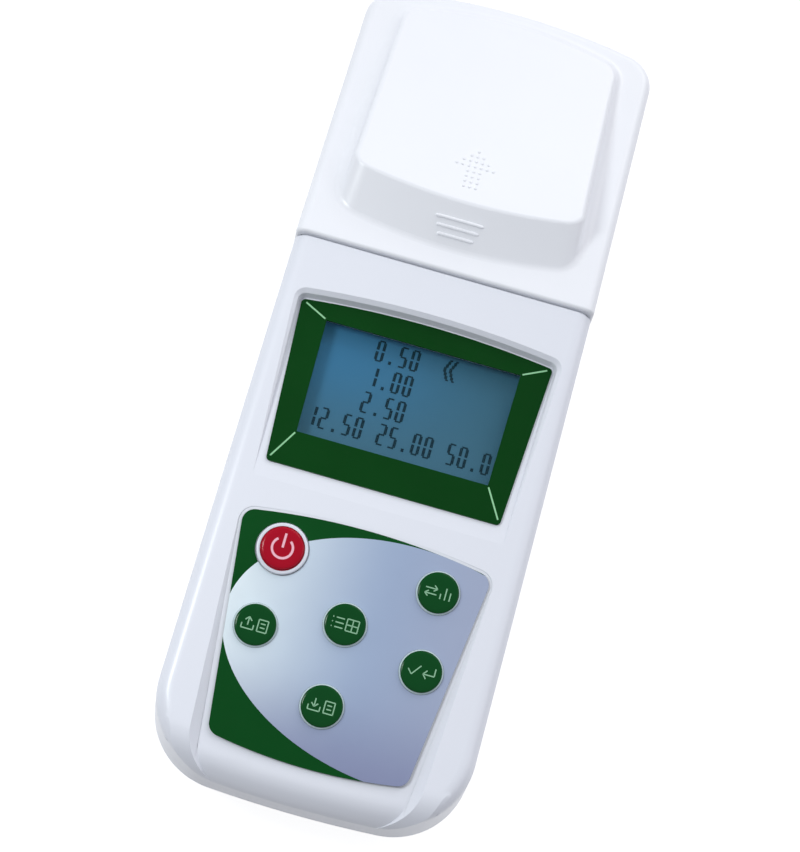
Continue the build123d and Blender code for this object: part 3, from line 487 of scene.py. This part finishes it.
def level_normals(mesh, targets):
    """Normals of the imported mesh's corners, turned to the deck's where the step was."""
    normals = [corner.vector.copy() for corner in mesh.corner_normals]
    decks = deck_normals(mesh, targets)
    for corner in mesh.loops:
        target = targets[corner.vertex_index]
        if target:
            normal, deck = normals[corner.index], decks.get(target.z)
            faces_grip = normal.y < -STEP_FACING
            if deck and (faces_grip or normal.angle(deck, math.pi) < STEP_BLEND):
                normals[corner.index] = deck
    return normals


def level_grip_step():
    """The upper half with the low step at its rolled end made level, and shaded as one curve."""
    mesh = frame["nodes"]["upper_shell"].data.copy()
    moves = step_targets(step_spots(mesh))
    targets = [moves.get(spot_key(vertex.co / MM)) for vertex in mesh.vertices]
    normals = level_normals(mesh, targets)
    for vertex, target in zip(mesh.vertices, targets):
        if target:
            vertex.co = target * MM
    mesh.normals_split_custom_set(normals)
    shell = shown("level_upper_shell", mesh)
    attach(shell, "case")
    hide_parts("upper_shell")


def top_of(node):
    """The frame of a node's widest flat top: Z out of it, Y towards the head, in its middle."""
    mesh = frame["nodes"][node].data
    areas = {}
    for face in mesh.polygons:
        if face.normal.z > TOP_SLOPE:
            key = tuple(round(value, 2) for value in face.normal)
            areas.setdefault(key, []).append(face)
    widest = max(areas.values(), key=lambda faces: sum(face.area for face in faces))
    normal = sum((face.normal * face.area for face in widest), Vector()).normalized()
    across = Vector((1, 0, 0))
    along = normal.cross(across).normalized()
    across = along.cross(normal)
    height = max(normal.dot(mesh.vertices[i].co) for face in widest for i in face.vertices)
    points = [vertex.co for vertex in mesh.vertices]
    sides = [across.dot(point) for point in points]
    ends = [along.dot(point) for point in points]
    middle = across * (min(sides) + max(sides)) / 2 + along * (min(ends) + max(ends)) / 2
    axes = Matrix((across, along, normal)).transposed().to_4x4()
    return Matrix.Translation(middle + normal * height) @ axes


def extent(node, axes):
    """Lowest and highest corner of a node in the given frame."""
    inverse = axes.inverted()
    points = [inverse @ vertex.co for vertex in frame["nodes"][node].data.vertices]
    low = Vector([min(point[i] for point in points) for i in range(3)])
    high = Vector([max(point[i] for point in points) for i in range(3)])
    return low, high


def piece(name, mesh_builder, material, body):
    """Turns a bmesh into a shown piece that rides on a body."""
    mesh = bpy.data.meshes.new(name)
    bmesh.ops.recalc_face_normals(mesh_builder, faces=mesh_builder.faces)
    mesh_builder.to_mesh(mesh)
    mesh_builder.free()
    thing = shown(name, mesh)
    mesh.materials.append(material)
    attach(thing, body)
    return thing


def smooth(thing, angle=SHARP_ANGLE):
    """Shades a piece smooth, except at edges sharper than the angle in degrees."""
    thing.data.shade_smooth()
    thing.data.set_sharp_from_angle(angle=math.radians(angle))


def bridge(builder, first, second):
    """Faces between two closed rows of as many vertices."""
    for k in range(len(first)):
        after = (k + 1) % len(first)
        builder.faces.new((first[k], first[after], second[after], second[k]))


def ribbon(builder, points, width, place, rise):
    """Adds a flat printed stroke along points. place turns a point and a height into a vertex."""
    half = width / 2
    rows = []
    for i, point in enumerate(points):
        before, after = points[max(i - 1, 0)], points[min(i + 1, len(points) - 1)]
        run = Vector((after[0] - before[0], after[1] - before[1]))
        run.normalize()
        side = Vector((-run.y, run.x)) * half
        left, right = Vector(point) + side, Vector(point) - side
        corners = ((left, 0.0), (right, 0.0), (right, rise), (left, rise))
        rows.append([builder.verts.new(place(corner, height)) for corner, height in corners])
    for first, second in zip(rows, rows[1:]):
        bridge(builder, first, second)
    builder.faces.new(rows[0])
    builder.faces.new(rows[-1][::-1])


def stroke(points):
    """Points along a line through corners, close enough to lie on a curved key."""
    line = [Vector(points[0])]
    for start, end in zip(points, points[1:]):
        start, end = Vector(start), Vector(end)
        count = max(1, math.ceil((end - start).length / STROKE_STEP))
        line += [start.lerp(end, (i + 1) / count) for i in range(count)]
    return line


def on_circle(radius, angle, height=0.0):
    """Point in millimetres on a circle about the Z axis."""
    return (radius * math.cos(angle), radius * math.sin(angle), height)


def round_angles(count):
    """Evenly spaced angles once round."""
    return [2 * math.pi * k / count for k in range(count)]


# Symbols drawn in a square from 0 to 1, as lists of strokes
SYMBOLS = {
    "tray_up": [[(0, 0.4), (0, 0), (1, 0), (1, 0.4)], [(0.5, 0.3), (0.5, 1)],
                [(0.22, 0.7), (0.5, 1), (0.78, 0.7)]],
    "tray_down": [[(0, 0.4), (0, 0), (1, 0), (1, 0.4)], [(0.5, 1), (0.5, 0.3)],
                  [(0.22, 0.6), (0.5, 0.3), (0.78, 0.6)]],
    "page": [[(0.1, 0), (0.1, 1), (0.9, 1), (0.9, 0), (0.1, 0)], [(0.3, 0.68), (0.7, 0.68)],
             [(0.3, 0.35), (0.7, 0.35)]],
    "list": [[(0.3, 0.9), (1, 0.9)], [(0.3, 0.5), (1, 0.5)], [(0.3, 0.1), (1, 0.1)],
             [(0, 0.9), (0.08, 0.9)], [(0, 0.5), (0.08, 0.5)], [(0, 0.1), (0.08, 0.1)]],
    "grid": [[(0, 0), (0, 1), (1, 1), (1, 0), (0, 0)], [(0.5, 0), (0.5, 1)], [(0, 0.5), (1, 0.5)]],
    "swap": [[(0, 0.72), (1, 0.72)], [(0.7, 1), (1, 0.72), (0.7, 0.5)],
             [(1, 0.25), (0, 0.25)], [(0.3, 0.48), (0, 0.25), (0.3, 0)]],
    "tick": [[(0, 0.5), (0.35, 0.1), (1, 0.95)]],
    "return": [[(1, 1), (1, 0.35), (0.05, 0.35)], [(0.35, 0.7), (0.05, 0.35), (0.35, 0)]],
    "bars": [[(0.1, 0), (0.1, 0.45)], [(0.5, 0), (0.5, 1)], [(0.9, 0), (0.9, 0.7)]],
}
KEY_SYMBOLS = {
    "recall_key": ("tray_up", "page"),
    "menu_key": ("list", "grid"),
    "toggle_key": ("swap", "bars"),
    "enter_key": ("tick", "return"),
    "save_key": ("tray_down", "page"),
}


def dome_height(x, y, radius, rise):
    """Height of a shallow dome over its rim, in millimetres: nearly flat, with a round edge."""
    share = min(math.hypot(x, y) / radius, 1.0)
    return rise * math.sqrt(1 - share ** DOME_FULLNESS)


def on_dome(axes, radius, rise):
    """Places points in millimetres on the dome over a key."""
    def place(point, lift):
        x, y = point[0], point[1]
        height = dome_height(x, y, radius, rise) + lift
        return axes @ metric(x, y, height)
    return place


def key_dome(name, axes, radius, material, body):
    """Glossy domed cap on a key."""
    builder = bmesh.new()
    place = on_dome(axes, radius, DOME_RISE)
    centre = builder.verts.new(place((0, 0), 0))
    rows = []
    for ring in range(1, DOME_RINGS + 1):
        spread = radius * math.sin(math.pi / 2 * ring / DOME_RINGS)
        rows.append([
            builder.verts.new(place(on_circle(spread, angle), 0)) for angle in round_angles(DOME_SIDES)
        ])
    base = [
        builder.verts.new(axes @ metric(*on_circle(radius, angle, -DOME_SKIRT)))
        for angle in round_angles(DOME_SIDES)
    ]
    rows.append(base)
    for k in range(DOME_SIDES):
        builder.faces.new((centre, rows[0][k], rows[0][(k + 1) % DOME_SIDES]))
    for inner, outer in zip(rows, rows[1:]):
        bridge(builder, inner, outer)
    builder.faces.new(base[::-1])
    smooth(piece(name, builder, material, body))


def collar_section(radius):
    """Section of a key's collar as distances from the axis and heights, with a round top."""
    inner, outer = (radius + reach for reach in COLLAR_REACH)
    half = (outer - inner) / 2
    foot, edge = COLLAR_TOP - COLLAR_DEPTH, COLLAR_TOP - half
    crown = [
        ((inner + outer) / 2 - half * math.cos(angle), edge + half * math.sin(angle))
        for angle in (math.pi * step / COLLAR_STEPS for step in range(1, COLLAR_STEPS))
    ]
    return [(inner, foot), (inner, edge), *crown, (outer, edge), (outer, foot)]


def key_collar(name, axes, radius, material, body):
    """Soft-edged collar round the foot of a key's dome, which fills the gap in the panel."""
    builder = bmesh.new()
    rows = [
        [builder.verts.new(axes @ metric(*on_circle(r, angle, z))) for r, z in collar_section(radius)]
        for angle in round_angles(COLLAR_SIDES)
    ]
    for k, row in enumerate(rows):
        bridge(builder, row, rows[(k + 1) % COLLAR_SIDES])
    smooth(piece(name, builder, material, body), COLLAR_SHARP)


def key_symbols(node, axes, body):
    """Two small pictures printed side by side on a key's dome."""
    builder = bmesh.new()
    place = on_dome(axes, DOME_RADIUS, DOME_RISE)
    for side, symbol in zip((-1, 1), KEY_SYMBOLS[node]):
        corner = Vector((side * (SYMBOL_SIZE + SYMBOL_GAP) / 2 - SYMBOL_SIZE / 2, -SYMBOL_SIZE / 2))
        for points in SYMBOLS[symbol]:
            line = [corner + Vector(point) * SYMBOL_SIZE for point in points]
            for start, end in zip(line, line[1:]):
                ribbon(builder, stroke([start, end]), SYMBOL_STROKE, place, PRINT_THICKNESS)
    piece(node + "_symbols", builder, materials["symbol_pale"], body)


def power_symbol(axes):
    """Ring open at the top with an upright bar."""
    builder = bmesh.new()
    place = on_dome(axes, POWER_RADIUS, DOME_RISE)
    start, end = math.pi / 2 + POWER_OPENING, math.pi * 5 / 2 - POWER_OPENING
    ring = [
        on_circle(POWER_RING_RADIUS, start + (end - start) * i / POWER_RING_STEPS)[:2]
        for i in range(POWER_RING_STEPS + 1)
    ]
    for line in (ring, stroke([(0, height) for height in POWER_BAR])):
        ribbon(builder, line, POWER_STROKE, place, PRINT_THICKNESS)
    piece("power_symbol", builder, materials["power_pale"], "power")


def make_keys():
    """Domes, collars and symbols of the six keys."""
    green, pale, red = (materials[name] for name in ("dome_green", "key_green", "button_red"))
    for node in KEY_SYMBOLS:
        body = node.replace("_key", "")
        axes = top_of(node)
        key_dome(node + "_dome", axes, DOME_RADIUS, green, body)
        key_collar(node + "_collar", axes, KEY_RADIUS, pale, body)
        key_symbols(node, axes, body)
    axes = top_of("power_button")
    key_dome("power_dome", axes, POWER_RADIUS, red, "power")
    key_collar("power_collar", axes, POWER_CAP_RADIUS, red, "power")
    power_symbol(axes)


def prism(builder, outline, low, high, axes):
    """Adds a prism over a closed outline, all in millimetres in the given frame."""
    bottom, top = (
        [builder.verts.new(axes @ metric(x, y, height)) for x, y in outline]
        for height in (low, high)
    )
    builder.faces.new(bottom[::-1])
    builder.faces.new(top)
    bridge(builder, bottom, top)


def solid_from(name, outline, low, high, axes):
    """A prism as an object of its own."""
    builder = bmesh.new()
    prism(builder, outline, low, high, axes)
    bmesh.ops.recalc_face_normals(builder, faces=builder.faces)
    mesh = bpy.data.meshes.new(name)
    builder.to_mesh(mesh)
    builder.free()
    return shown(name, mesh)


def combine(thing, others, operation):
    """Applies exact booleans with the other objects, which are then removed."""
    for other in others:
        modifier = thing.modifiers.new("cut", "BOOLEAN")
        modifier.operation = operation
        modifier.solver = "EXACT"
        modifier.object = other
    graph = bpy.context.evaluated_depsgraph_get()
    mesh = bpy.data.meshes.new_from_object(thing.evaluated_get(graph))
    thing.modifiers.clear()
    thing.data = mesh
    for other in others:
        bpy.data.objects.remove(other)


def circle_outline(x, y, radius):
    """A circle as a closed outline."""
    return [
        (x + radius * math.cos(angle), y + radius * math.sin(angle))
        for angle in round_angles(CIRCLE_SIDES)
    ]


def flat_print(name, outlines, holes, axes, material):
    """A thin printed area on the case: the part that all outlines share, less the holes."""
    first = solid_from(name, outlines[0], 0.0, PRINT_THICKNESS, axes)
    rest = [solid_from("cutter", outline, -1, 1, axes) for outline in outlines[1:]]
    combine(first, rest, "INTERSECT")
    combine(first, [solid_from("cutter", hole, -1, 1, axes) for hole in holes], "DIFFERENCE")
    first.data.materials.clear()
    first.data.materials.append(material)
    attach(first, "case")


def flat_points(node, axes):
    """Corners of a node's flat top, in metres in the given frame."""
    inverse = axes.inverted()
    points = [inverse @ vertex.co for vertex in frame["nodes"][node].data.vertices]
    return [point for point in points if abs(point.z) < FLAT_TOLERANCE]


def rim_of(node, axes):
    """Outer boundary of a node's flat top, in millimetres in the given frame."""
    return convex_rim([(round(p.x / MM, 4), round(p.y / MM, 4)) for p in flat_points(node, axes)])


def convex_rim(points):
    """Convex outline round points, counterclockwise."""
    def turn(a, b, c):
        return (b[0] - a[0]) * (c[1] - a[1]) - (b[1] - a[1]) * (c[0] - a[0])

    def chain(ordered):
        side = []
        for p in ordered:
            while len(side) > 1 and turn(side[-2], side[-1], p) <= 0:
                side.pop()
            side.append(p)
        return side[:-1]

    points = sorted(set(points))
    return chain(points) + chain(points[::-1])


def field_ellipse():
    """Outline of the silver field before the panel's edge cuts it."""
    cosine, sine = math.cos(FIELD_TURN), math.sin(FIELD_TURN)
    outline = []
    for angle in round_angles(FIELD_STEPS):
        x = FIELD_HALF_AXES[0] * math.cos(angle)
        y = FIELD_HALF_AXES[1] * math.sin(angle)
        outline.append((FIELD_CENTRE[0] + x * cosine - y * sine, FIELD_CENTRE[1] + x * sine + y * cosine))
    return outline


def keypad_field():
    """Silver field of the keypad: a large tilted ellipse cut off by the panel's edge."""
    axes = top_of("keypad_overlay")
    holes = []
    for node in (*KEY_SYMBOLS, "power_bezel"):
        low, high = extent(node, axes)
        spot = (low + high) / 2 / MM
        bezel = (high.x - low.x) / 2 / MM + FIELD_GAP
        holes.append(circle_outline(spot.x, spot.y, bezel if node == "power_bezel" else KEY_HOLE_RADIUS))
    outlines = [rim_of("keypad_overlay", axes), field_ellipse()]
    flat_print("keypad_field", outlines, holes, axes, materials["silver_print_painted_sheen"])


def window_corner(flat, side_x, side_y):
    """Corner of the window opening in the screen panel, in the panel's own frame."""
    inside = [p for p in flat if abs(p.x) < WINDOW_ROOM[0] and abs(p.y) < WINDOW_ROOM[1]]
    return max(inside, key=lambda p: side_x * p.x + side_y * p.y).xy


def mitre_lines():
    """Four thin pale lines from the corners of the screen panel to the window's corners."""
    axes = top_of("screen_overlay")
    flat = [point / MM for point in flat_points("screen_overlay", axes)]
    builder = bmesh.new()

    def place(point, lift):
        return axes @ metric(point[0], point[1], lift)

    for side_x in (-1, 1):
        for side_y in (-1, 1):
            start = max(flat, key=lambda p: side_x * p.x + side_y * p.y).xy
            end = window_corner(flat, side_x, side_y)
            run = (end - start).normalized()
            line = [start + run * MITRE_GAP, end - run * MITRE_END]
            ribbon(builder, line, MITRE_WIDTH, place, PRINT_THICKNESS)
    piece("mitre_lines", builder, materials["mitre_pale"], "case")


def display_dots():
    """Digits of plain segments, built from the small square dots of the display."""
    axes = top_of("lcd_panel")
    builder = bmesh.new()
    origin = Vector((
        DISPLAY_SHIFT[0] - DISPLAY_DOTS[0] * DOT_PITCH[0] / 2,
        DISPLAY_SHIFT[1] + DISPLAY_DOTS[1] * DOT_PITCH[1] / 2,
    ))
    dots = [
        (column * SIGN_DOTS[0] + SIGN_FOOT[0] + x, line * SIGN_DOTS[1] + SIGN_FOOT[1] - y)
        for line, text in enumerate(DISPLAY_LINES)
        for column, sign in enumerate(text)
        for x, y in sign_dots(sign)
    ]
    dots += [(MARK_COLUMN * SIGN_DOTS[0] + x, SIGN_FOOT[1] - y) for x, y in mark_dots()]
    for column, row in dots:
        add_dot(builder, axes, origin, column, row)
    piece("display_digits", builder, materials["dot_dark"], "case")


def add_dot(builder, axes, origin, column, row):
    """One dark dot of the display, counted from its upper left corner."""
    half_x, half_y = (pitch * DOT_FILL / 2 for pitch in DOT_PITCH)
    x = origin.x + (column + 0.5) * DOT_PITCH[0]
    y = origin.y - (row + 0.5) * DOT_PITCH[1]
    corners = [
        (x - half_x, y - half_y), (x + half_x, y - half_y),
        (x + half_x, y + half_y), (x - half_x, y + half_y),
    ]
    prism(builder, corners, 0.0, DOT_THICKNESS, axes)


# Segments of each digit: a is the top bar, then clockwise to f, and g is the middle bar
DIGIT_SEGMENTS = {
    "0": "abcdef", "1": "bc", "2": "abged", "3": "abgcd", "4": "fgbc",
    "5": "afgcd", "6": "afgecd", "7": "abc", "8": "abcdefg", "9": "abcdfg",
}


def sign_dots(sign):
    """Dots of a digit or decimal point, counted from its lower left corner."""
    if sign == ".":
        return [(x, y) for x in (2, 3) for y in (0, 1)]
    bars = {
        "a": [(x, 12) for x in range(1, 5)],
        "g": [(x, 6) for x in range(1, 5)],
        "d": [(x, 0) for x in range(1, 5)],
        "b": [(x, y) for x in (4, 5) for y in range(7, 12)],
        "c": [(x, y) for x in (4, 5) for y in range(1, 6)],
        "f": [(x, y) for x in (0, 1) for y in range(7, 12)],
        "e": [(x, y) for x in (0, 1) for y in range(1, 6)],
    }
    return [dot for bar in DIGIT_SEGMENTS.get(sign, "") for dot in bars[bar]]


def mark_dots():
    """Two narrow angle marks side by side, which point to the left."""
    rows = range(DIGIT_HEIGHT)
    return [(left + abs(y - DIGIT_HEIGHT // 2) // 2, y) for left in (0, 1, 4, 5) for y in rows]


def lid_surface():
    """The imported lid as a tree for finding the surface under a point."""
    mesh = frame["nodes"]["sliding_lid"].data
    vertices = [vertex.co for vertex in mesh.vertices]
    faces = [tuple(face.vertices) for face in mesh.polygons]
    return BVHTree.FromPolygons(vertices, faces)


def drop(tree, x, y):
    """Point and normal of the surface under x, y, in metres."""
    return tree.ray_cast(Vector((x, y, ABOVE_LID)), Vector((0, 0, -1)))[:2]


def push_arrow():
    """Arrow of small raised dots on the lid, pointing to the head."""
    tree = lid_surface()
    builder = bmesh.new()
    length = (len(ARROW_ROWS) - 1) * ARROW_PITCH
    for row, count in enumerate(ARROW_ROWS):
        y = ARROW_CENTRE + length / 2 - row * ARROW_PITCH
        for k in range(count):
            x = (k - (count - 1) / 2) * ARROW_PITCH
            point, normal = drop(tree, x * MM, y * MM)
            turn = normal.to_track_quat("Z", "Y").to_matrix().to_4x4()
            arrow_dot(builder, Matrix.Translation(point) @ turn)
    smooth(piece("push_arrow", builder, materials["lid_white"], "lid"))


def arrow_dot(builder, axes):
    """A small round bump with its foot a little under the surface."""
    rows = []
    for ring in range(ARROW_DOT_RINGS):
        tilt = math.pi / 2 * ring / ARROW_DOT_RINGS
        spread = ARROW_DOT_RADIUS * math.cos(tilt)
        height = ARROW_DOT_RISE * math.sin(tilt) - ARROW_DOT_FOOT
        rows.append([
            builder.verts.new(axes @ metric(*on_circle(spread, angle, height)))
            for angle in round_angles(ARROW_DOT_SIDES)
        ])
    top = builder.verts.new(axes @ metric(0, 0, ARROW_DOT_RISE - ARROW_DOT_FOOT))
    for lower, upper in zip(rows, rows[1:]):
        bridge(builder, lower, upper)
    for k in range(ARROW_DOT_SIDES):
        builder.faces.new((rows[-1][k], rows[-1][(k + 1) % ARROW_DOT_SIDES], top))
    builder.faces.new(rows[0][::-1])


def rib_shares():
    """Places along a rib from -1 to 1, closer together at its round ends."""
    return [math.sin(math.pi / 2 * (2 * i / RIB_STEPS - 1)) for i in range(RIB_STEPS + 1)]


def rib_row(builder, tree, length, share, y):
    """Half-round section of a rib, which shrinks towards the rib's ends."""
    x = share * length / 2
    half = RIB_WIDTH / 2
    past = max(abs(x) - length / 2 + half, 0) / half
    size = max(math.sqrt(max(1 - past ** 2, 0.0)), RIB_TIP)
    point, normal = drop(tree, x * MM, y * MM)
    along = normal.cross(Vector((1, 0, 0))).normalized()
    foot = point - normal * RIB_FOOT * MM
    wide, high = along * half * MM * size, normal * RIB_RISE * MM * size
    angles = (math.pi * j / RIB_SECTION_STEPS for j in range(RIB_SECTION_STEPS + 1))
    return [builder.verts.new(foot + wide * math.cos(a) + high * math.sin(a)) for a in angles]


def thumb_ribs():
    """Three raised ribs on the thumb slope of the lid."""
    tree = lid_surface()
    builder = bmesh.new()
    for k, length in enumerate(RIB_LENGTHS):
        y = RIB_CENTRE + (1 - k) * RIB_PITCH
        rows = [rib_row(builder, tree, length, share, y) for share in rib_shares()]
        for first, second in zip(rows, rows[1:]):
            bridge(builder, first, second)
        builder.faces.new(rows[0])
        builder.faces.new(rows[-1][::-1])
    smooth(piece("thumb_ribs", builder, materials["lid_white"], "lid"), RIB_SHARP)


def make_camera():
    """Camera at the photograph's viewing angle."""
    right = Vector((1, 0, 0))
    back = Vector((0, -math.sin(VIEW_TILT), math.cos(VIEW_TILT)))
    up = back.cross(right)
    turned_right = right * math.cos(VIEW_ROLL) + up * math.sin(VIEW_ROLL)
    turned_up = up * math.cos(VIEW_ROLL) - right * math.sin(VIEW_ROLL)
    data = bpy.data.cameras.new("camera")
    data.lens = FOCAL_PIXELS / PHOTO_HEIGHT_PIXELS * data.sensor_width
    data.clip_start, data.clip_end = CLIP_METRES
    camera = shown("camera", data)
    axes = Matrix((turned_right, turned_up, back)).transposed().to_4x4()
    camera.matrix_world = Matrix.Translation(AIM + back * VIEW_DISTANCE) @ axes
    bpy.context.scene.camera = camera


def lamp(name, place, aim, size, power, colour):
    """A soft square lamp that faces a point."""
    data = bpy.data.lights.new(name, "AREA")
    data.shape = "SQUARE"
    data.size = size
    data.energy = power
    data.color = colour
    thing = shown(name, data)
    direction = Vector(aim) - Vector(place)
    thing.location = place
    thing.rotation_mode = "QUATERNION"
    thing.rotation_quaternion = direction.to_track_quat("-Z", "Y")
    thing.visible_transmission = False


def seen_directly(tree):
    """1 for rays from the camera, mirrors and glass, 0 for the light on the object."""
    ray = tree.nodes.new("ShaderNodeLightPath")
    total = ray.outputs["Is Camera Ray"]
    for name in ("Is Glossy Ray", "Is Transmission Ray"):
        add = tree.nodes.new("ShaderNodeMath")
        add.operation = "MAXIMUM"
        tree.links.new(total, add.inputs[0])
        tree.links.new(ray.outputs[name], add.inputs[1])
        total = add.outputs["Value"]
    return total


def make_world():
    """Soft light, a little stronger from the head's side, and white where it is seen directly."""
    world = bpy.data.worlds.new("studio")
    bpy.context.scene.world = world
    world.use_nodes = True
    tree = world.node_tree
    light = tree.nodes["Background"]
    light.inputs["Color"].default_value = WORLD_COLOUR
    direction = tree.nodes.new("ShaderNodeTexCoord").outputs["Generated"]
    parts = tree.nodes.new("ShaderNodeSeparateXYZ")
    tree.links.new(direction, parts.inputs["Vector"])
    ramp = tree.nodes.new("ShaderNodeMapRange")
    ramp.inputs["From Min"].default_value = -1.0
    ramp.inputs["To Min"].default_value = WORLD_STRENGTH[0]
    ramp.inputs["To Max"].default_value = WORLD_STRENGTH[1]
    tree.links.new(parts.outputs["Y"], ramp.inputs["Value"])
    tree.links.new(ramp.outputs["Result"], light.inputs["Strength"])
    ray = tree.nodes.new("ShaderNodeLightPath")
    surroundings = light.outputs["Background"]
    for name, strength in (("Is Glossy Ray", MIRRORED_STRENGTH), ("Is Camera Ray", 1.0)):
        seen = tree.nodes.new("ShaderNodeBackground")
        seen.inputs["Color"].default_value = WHITE_LIGHT
        seen.inputs["Strength"].default_value = strength
        choice = tree.nodes.new("ShaderNodeMixShader")
        tree.links.new(ray.outputs[name], choice.inputs["Fac"])
        tree.links.new(surroundings, choice.inputs[1])
        tree.links.new(seen.outputs["Background"], choice.inputs[2])
        surroundings = choice.outputs["Shader"]
    tree.links.new(surroundings, tree.nodes["World Output"].inputs["Surface"])


def make_floor():
    """Pale floor that shows white where no shadow falls."""
    mesh = bpy.data.meshes.new("floor")
    sides = ((-1, -1), (1, -1), (1, 1), (-1, 1))
    corners = [(x * FLOOR_HALF_METRES, y * FLOOR_HALF_METRES, FLOOR_HEIGHT * MM) for x, y in sides]
    mesh.from_pydata(corners, [], [(0, 1, 2, 3)])
    floor = shown("floor", mesh)
    material = bpy.data.materials.new("floor")
    material.use_nodes = True
    tree = material.node_tree
    shader = tree.nodes["Principled BSDF"]
    shader.inputs["Base Color"].default_value = FLOOR_COLOUR
    shader.inputs["Roughness"].default_value = FLOOR_ROUGHNESS
    shader.inputs["Specular IOR Level"].default_value = FLOOR_SHINE
    glow = tree.nodes.new("ShaderNodeEmission")
    glow.inputs["Color"].default_value = WHITE_LIGHT
    glow.inputs["Strength"].default_value = FLOOR_GLOW
    both = tree.nodes.new("ShaderNodeAddShader")
    tree.links.new(shader.outputs["BSDF"], both.inputs[0])
    tree.links.new(glow.outputs["Emission"], both.inputs[1])
    choice = tree.nodes.new("ShaderNodeMixShader")
    tree.links.new(seen_directly(tree), choice.inputs["Fac"])
    tree.links.new(shader.outputs["BSDF"], choice.inputs[1])
    tree.links.new(both.outputs["Shader"], choice.inputs[2])
    tree.links.new(choice.outputs["Shader"], tree.nodes["Material Output"].inputs["Surface"])
    mesh.materials.append(material)


dress_nodes()
level_grip_step()
make_keys()
keypad_field()
mitre_lines()
display_dots()
push_arrow()
thumb_ribs()
make_camera()
for name, values in LAMPS.items():
    lamp(name, *values)
make_world()
make_floor()
bpy.context.scene.view_settings.view_transform = "Standard"
